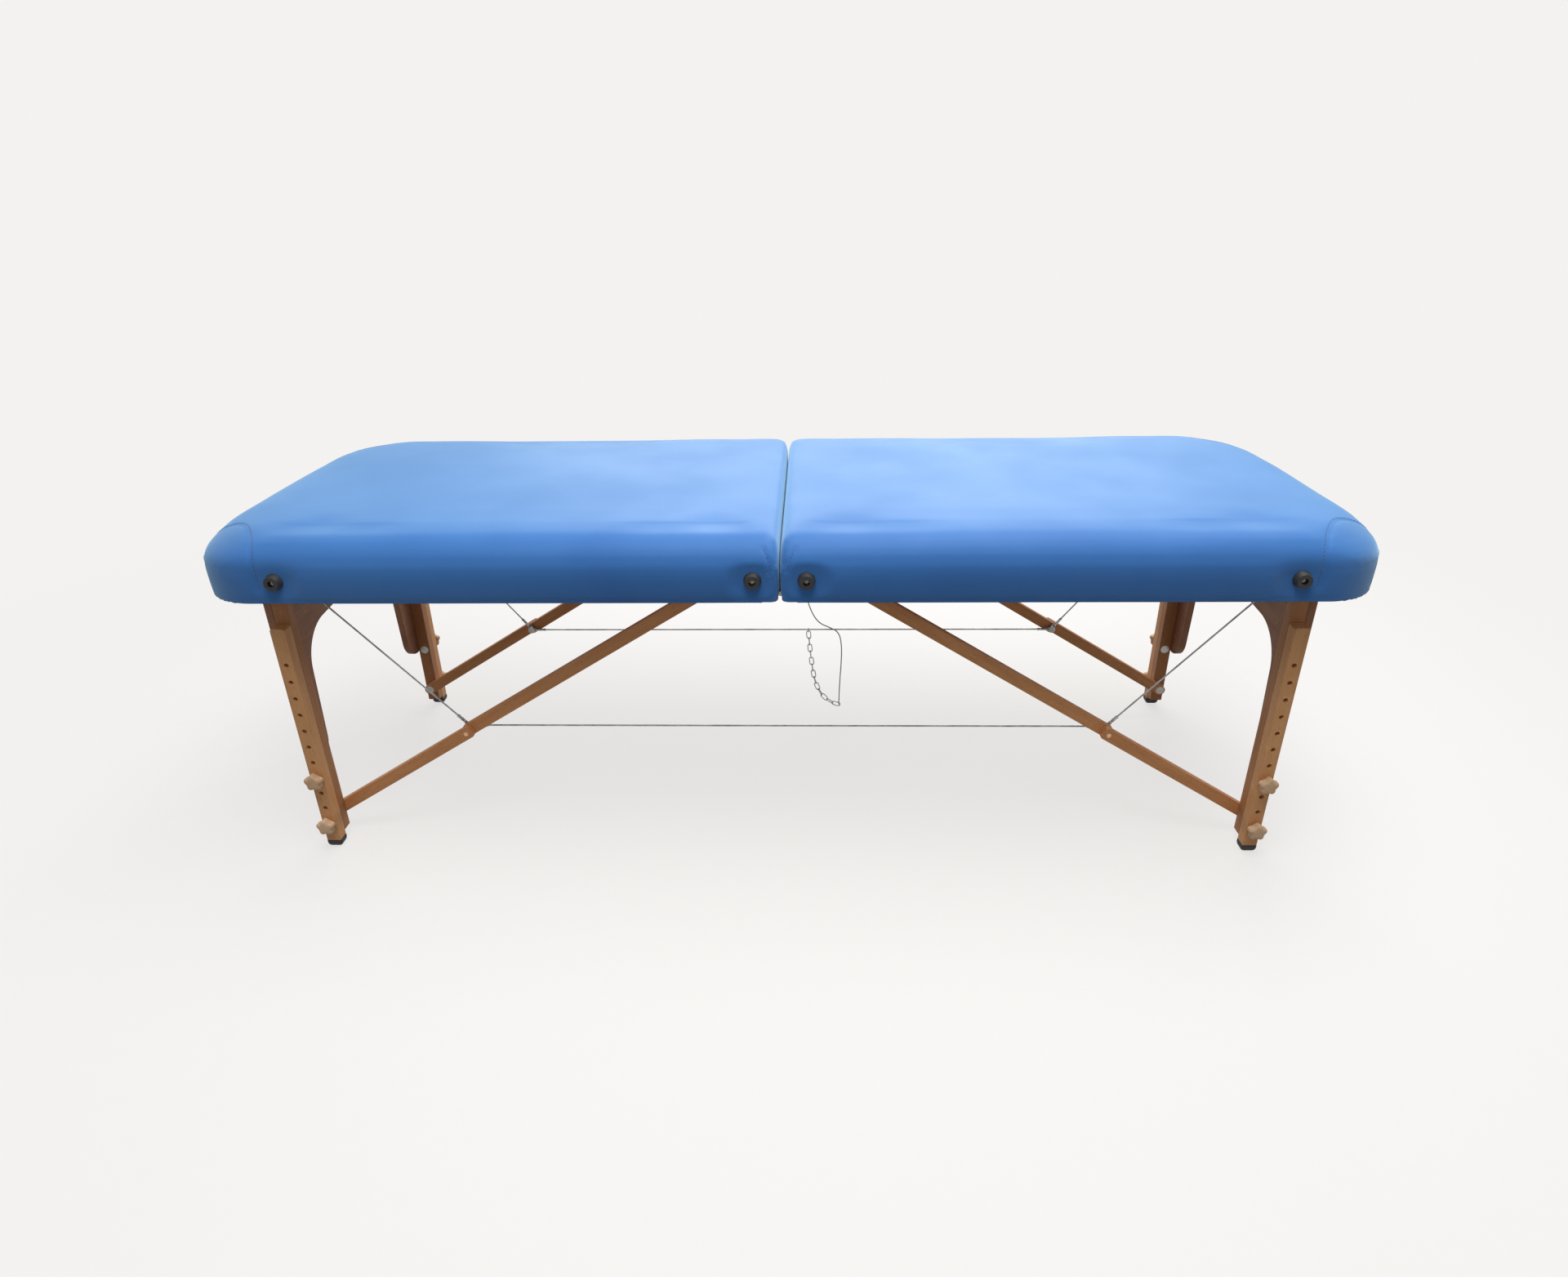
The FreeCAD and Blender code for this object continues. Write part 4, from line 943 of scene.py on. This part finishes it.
def add_stitches(parts, tree, line):
    """Short threads along a line on a surface, with their ends sunk into it."""
    sunk = -0.4
    raised = 0.5
    thin = 0.7
    pitch = STITCH + STITCH_GAP
    stops = spread_along(line, int(length_of(line) / pitch) + 1)
    for start, end in zip(stops, stops[1:]):
        trim = (end - start) * (STITCH_GAP / pitch / 2)
        ends = (start + trim, end - trim)
        middle = (ends[0] + ends[1]) / 2
        spots = []
        for spot, lift in ((ends[0], sunk), (middle, raised), (ends[1], sunk)):
            place, normal = tree.find_nearest(spot)[:2]
            spots.append(place + normal * (THREAD_RADIUS * lift))
        parts.tube(spots, [THREAD_RADIUS * thin, THREAD_RADIUS, THREAD_RADIUS * thin], sides=6)


def flipped(mesh):
    """The other half's mesh, mirrored end to end."""
    copy = mesh.copy()
    copy.name = "cushion_left"
    copy.transform(Matrix.Scale(-1, 4, (1, 0, 0)))
    copy.flip_normals()
    return copy


def make_cushions():
    piece = remeshed(cushion_form())
    blow_up(piece)
    open_below(piece)
    subdivided(piece)
    fit_to_frame(piece)
    tree = BVHTree.FromObject(piece, bpy.context.evaluated_depsgraph_get())
    seams = []
    stitch_lines = []
    uses = ((SEAM, seams), (SEAM_STITCH, stitch_lines), (DART, stitch_lines), (DART, seams))
    for way in FRONT_AND_BACK:
        for route, lines in uses:
            smooth = spline_points([metres(x, way * y, z) for x, y, z in route])
            lines.append([tree.find_nearest(spot)[0] for spot in smooth])
    press_lines(piece, [spread_along(line, GROOVE_POINTS) for line in seams])
    base = piece.data
    bpy.data.objects.remove(piece)
    for side, sign in SIDES:
        mesh = base.copy() if sign > 0 else flipped(base)
        cushion = bpy.data.objects.new(f"{side}_cushion", mesh)
        scene.collection.objects.link(cushion)
        mesh.materials.clear()
        mesh.materials.append(vinyl)
        mesh.polygons.foreach_set("use_smooth", [True] * len(mesh.polygons))
        if sign > 0:
            ripple(cushion)
        surface = BVHTree.FromObject(cushion, bpy.context.evaluated_depsgraph_get())
        threads = Parts()
        for line in stitch_lines:
            add_stitches(threads, surface, [Vector((spot.x * sign, spot.y, spot.z)) for spot in line])
        sewn = threads.piece(f"{side}_stitches", thread)
        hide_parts(f"{side}_cover", f"{side}_foam")
        for item in (cushion, sewn):
            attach(item, f"{side}_half")


make_cushions()


# Pieces of the frame
def stand_in(piece, node):
    """Makes a piece stand for a node and move with it."""
    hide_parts(node)
    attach(piece, BODY_OF[node])


def soften(node, width, surface, segments=2):
    """A piece of the node's form with its outer edges rounded."""
    same_place = 2e-6
    speck = 1e-5
    flat = math.radians(1)
    sharp = math.radians(40)
    crease = math.radians(32)
    shortest = 1.7 * MM
    source = frame["nodes"][node]
    work = bmesh.new()
    corners = [work.verts.new(vertex.co) for vertex in source.data.vertices]
    for face in source.data.polygons:
        try:
            work.faces.new([corners[index] for index in face.vertices])
        except ValueError:
            continue
    bmesh.ops.remove_doubles(work, verts=work.verts, dist=same_place)
    bmesh.ops.dissolve_limit(work, angle_limit=flat, verts=work.verts, edges=work.edges)
    bmesh.ops.recalc_face_normals(work, faces=work.faces)
    edges = [edge for edge in work.edges if edge.is_manifold and edge.is_convex
             and edge.calc_face_angle() > sharp and edge.calc_length() > shortest]
    bmesh.ops.bevel(work, geom=edges, offset=width * MM, segments=segments, profile=0.5, affect="EDGES",
                    clamp_overlap=False)
    bmesh.ops.dissolve_degenerate(work, dist=speck, edges=work.edges)
    bmesh.ops.recalc_face_normals(work, faces=work.faces)
    bmesh.ops.triangulate(work, faces=[face for face in work.faces if len(face.verts) > 4])
    mesh = bpy.data.meshes.new(f"{node}_soft")
    work.to_mesh(mesh)
    work.free()
    mesh.materials.append(surface)
    mesh.polygons.foreach_set("use_smooth", [True] * len(mesh.polygons))
    mesh.set_sharp_from_angle(angle=crease)
    piece = bpy.data.objects.new(f"{node}_soft", mesh)
    scene.collection.objects.link(piece)
    modifier = piece.modifiers.new("flat_faces", "WEIGHTED_NORMAL")
    modifier.keep_sharp = True
    modifier.weight = 100
    piece.data = evaluated_mesh(piece)
    piece.modifiers.remove(modifier)
    stand_in(piece, node)


def dress(node, surface):
    """Gives a node that stays its material."""
    item = frame["nodes"][node]
    if not item.material_slots:
        item.data.materials.append(surface)
    for slot in item.material_slots:
        slot.material = surface


def screw_head(parts, centre, radius):
    """A domed screw head that faces the front, with a cross in it."""
    rings = 6
    spokes = 24
    dome = 0.4 * radius
    cross_depth = 0.35 * radius
    cross_half = 0.16 * radius
    cross_reach = 0.62 * radius
    base = len(parts.vertices)
    parts.vertices.append(centre + Vector((0, cross_depth - dome, 0)))
    for ring in range(1, rings + 1):
        reach = radius * ring / rings
        for spoke in range(spokes):
            turn = 2 * math.pi * spoke / spokes
            x = reach * math.cos(turn)
            z = reach * math.sin(turn)
            crossed = min(abs(x), abs(z)) < cross_half and max(abs(x), abs(z)) < cross_reach
            height = dome * (1 - (ring / rings) ** 2) - (cross_depth if crossed else 0)
            parts.vertices.append(centre + Vector((x, -height, z)))
    for spoke in range(spokes):
        following = (spoke + 1) % spokes
        parts.faces.append((base, base + 1 + spoke, base + 1 + following))
        for ring in range(rings - 1):
            inner = base + 1 + ring * spokes
            outer = inner + spokes
            parts.faces.append((inner + spoke, outer + spoke, outer + following, inner + following))
    rim = base + 1 + (rings - 1) * spokes
    parts.faces.append(tuple(reversed(range(rim, rim + spokes))))


# Rings of a foot as inset and height, and of a knob as distance along its bolt, radius and size of lobes
FOOT_RINGS = ((8, 0), (5.2, 0.7), (3, 2), (1.4, 4), (0.4, 6.6), (0, 9), (0, 13.2), (0.8, 14))
FOOT_CORNER = 4
FOOT_FULLEST = 0.9
KNOB_RINGS = ((0, 7.4, 0), (0.5, 8, 0), (3.6, 8, 0), (4, 9, 0.4), (4.3, 11.4, 1), (5.4, 13.2, 1.5),
              (7.2, 14.3, 1.9), (13.6, 14.5, 2), (16.4, 13.8, 1.8), (18.1, 12, 1.4), (18.8, 9, 0.8),
              (19, 5, 0.2))
KNOB_LOBES = 5
KNOB_TOP = 16.5
KNOB_STEPS = 60
POST_EDGE = 1.2
BRACE_EDGE = 1.4
PANEL_EDGE = 1.6
BUMPER_EDGE = 1.4
HANDLE_EDGE = 0.8
SCREW_OUT = 6.2
SCREW_RADIUS = 4.6


def make_foot(node):
    """A rubber foot with a round underside."""
    low, high = (Vector(corner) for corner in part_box(node))
    centre = (low + high) / 2
    half_x, half_y = (high - low).xy / (2 * MM)
    rings = []
    for inset, height in FOOT_RINGS:
        along = half_x - inset
        across = half_y - inset
        corner = min(FOOT_CORNER, FOOT_FULLEST * across)
        ring = outline(-along, along, across, across, corner, (corner, corner), 0, height)
        rings.append([spot + Vector((centre.x, centre.y, 0)) for spot in ring])
    parts = Parts()
    parts.loft(rings)
    stand_in(parts.piece(f"{node}_round", rubber), node)


def add_knob(parts, centre, way):
    """A turned star knob on the front or the back of a leg, from the foot of its collar."""
    rings = []
    for distance, radius, lobe in KNOB_RINGS:
        ring = []
        for step in range(KNOB_STEPS):
            turn = 2 * math.pi * step / KNOB_STEPS
            reach = radius + lobe * math.cos(KNOB_LOBES * (turn - math.pi / 2))
            aside = -way * reach * math.cos(turn)
            ring.append(centre + metres(aside, way * distance, reach * math.sin(turn)))
        rings.append(ring)
    parts.loft(rings)


def make_knobs(side):
    node = f"{side}_knobs"
    spots = read_points(frame["nodes"][node].data, "co")
    middle = (spots[:, 2].min() + spots[:, 2].max()) / 2
    parts = Parts()
    for way in FRONT_AND_BACK:
        for upper in (False, True):
            own = spots[(np.sign(spots[:, 1]) == way) & ((spots[:, 2] > middle) == upper)]
            centre = Vector((own.min(0) + own.max(0)) / 2)
            centre.y = way * np.abs(own[:, 1]).min()
            centre.z = own[:, 2].max() - KNOB_TOP * MM
            add_knob(parts, centre, way)
    stand_in(parts.piece(f"{side}_star_knobs", pale_wood), node)


def make_frame_pieces(side, sign):
    for place in ("front", "back"):
        soften(f"{side}_{place}_post", POST_EDGE, shaded_beech_post)
        soften(f"{side}_{place}_extension", POST_EDGE, lit_beech_bar)
        soften(f"{side}_{place}_upper_brace", BRACE_EDGE, beech_brace[side])
        soften(f"{side}_{place}_lower_brace", BRACE_EDGE, beech_brace[side])
        make_foot(f"{side}_{place}_foot")
        dress(f"{side}_{place}_rail", beech_long)
    soften(f"{side}_end_panel", PANEL_EDGE, beech_panel)
    make_knobs(side)
    soften(f"{side}_bumpers", BUMPER_EDGE, rubber, segments=3)
    soften(f"{side}_handle", HANDLE_EDGE, webbing)
    surfaces = {"deck": plywood, "end_rail": beech_cross, "centre_rail": beech_cross, "cover": vinyl,
                "foam": foam, "hinge_leaf": steel, "brackets": steel, "pivot_bolts": steel,
                "leg_bolts": steel, "elbow_eyes": steel, "elbow_rivets": copper,
                "stay_cables": cable_steel}
    for kind, surface in surfaces.items():
        dress(f"{side}_{kind}", surface)
    screws = Parts()
    for place in BUMPERS:
        screw_head(screws, metres(sign * place, -(PAD_SIDE + SCREW_OUT), BUMPER_Z), SCREW_RADIUS * MM)
    screw = screws.piece(f"{side}_bumper_screws", steel)
    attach(screw, f"{side}_half")


for side_name, side_sign in SIDES:
    make_frame_pieces(side_name, side_sign)
dress("hinge_pin", steel)
dress("link_cables", cable_steel)
dress("hanging_chain", cable_steel)


# Floor and light
def floor_material():
    """A floor that shows pale, with the shadow kept near the table, and is plain grey for the light."""
    shade = Shader("floor")
    place = shade.place()
    speckle = shade.span(shade.noise(place, scale=40), 0.3, 0.7)
    near = shade.span(shade.vector("LENGTH", place)["Value"], 1.0, 2.6, 0.24, 0.0)
    glow = shade.add("ShaderNodeEmission", {"Color": FLOOR_PALE, "Strength": 1.0})
    lit = shade.add("ShaderNodeBsdfDiffuse", {"Color": shade.mix(speckle, FLOOR_PALE, FLOOR_SPECKLE)})
    grey = shade.add("ShaderNodeBsdfDiffuse", {"Color": FLOOR_GREY})
    shown = shade.add("ShaderNodeMixShader", {0: near, 1: glow.outputs[0], 2: lit.outputs[0]})
    both = shade.add("ShaderNodeMixShader", {0: shade.seen(), 1: grey.outputs[0], 2: shown.outputs[0]})
    shade.feed(shade.tree.nodes["Material Output"].inputs["Surface"], both.outputs[0])
    shade.tree.nodes.remove(shade.surface)
    return shade.material


def make_stage():
    reach = 30
    corners = [(-reach, -reach, 0), (reach, -reach, 0), (reach, reach, 0), (-reach, reach, 0)]
    floor = new_piece("floor", corners, [(0, 1, 2, 3)], floor_material(), smooth=False)
    world = bpy.data.worlds.new("studio")
    world.use_nodes = True
    scene.world = world
    sky = Nodes(world.node_tree)
    sky.tree.nodes.clear()
    studio = sky.add("ShaderNodeBackground", {"Color": STUDIO_TINT, "Strength": 0.3})
    shown = sky.add("ShaderNodeBackground", {"Color": FLOOR_PALE, "Strength": 1})
    choice = sky.add("ShaderNodeMixShader", {0: sky.seen(), 1: studio.outputs[0], 2: shown.outputs[0]})
    sky.add("ShaderNodeOutputWorld", {"Surface": choice.outputs[0]})


def make_lamp(name, place, aim, size, power, tint):
    """A rectangular lamp, with its width and height in metres and its power in watts."""
    data = bpy.data.lights.new(name, "AREA")
    data.shape = "RECTANGLE"
    data.size, data.size_y = size
    data.energy = power
    data.color = tint
    lamp = bpy.data.objects.new(name, data)
    lamp.location = place
    lamp.rotation_euler = (Vector(aim) - Vector(place)).to_track_quat("-Z", "Y").to_euler()
    scene.collection.objects.link(lamp)


make_stage()
make_lamp("key", place=(0.4, -0.25, 2.7), aim=(0.1, -0.05, 0.6), size=(3.0, 1.2), power=84,
          tint=(1, 0.99, 0.97))
make_lamp("back", place=(0.3, 3.2, 1.8), aim=(0.1, 0, 0.6), size=(3.4, 1.4), power=78, tint=(1, 1, 1))
make_lamp("fill", place=(-0.6, -2.4, 1.9), aim=(0, 0, 0.35), size=(2.4, 1.4), power=2,
          tint=(1, 0.98, 0.95))
scene.view_settings.view_transform = "Standard"
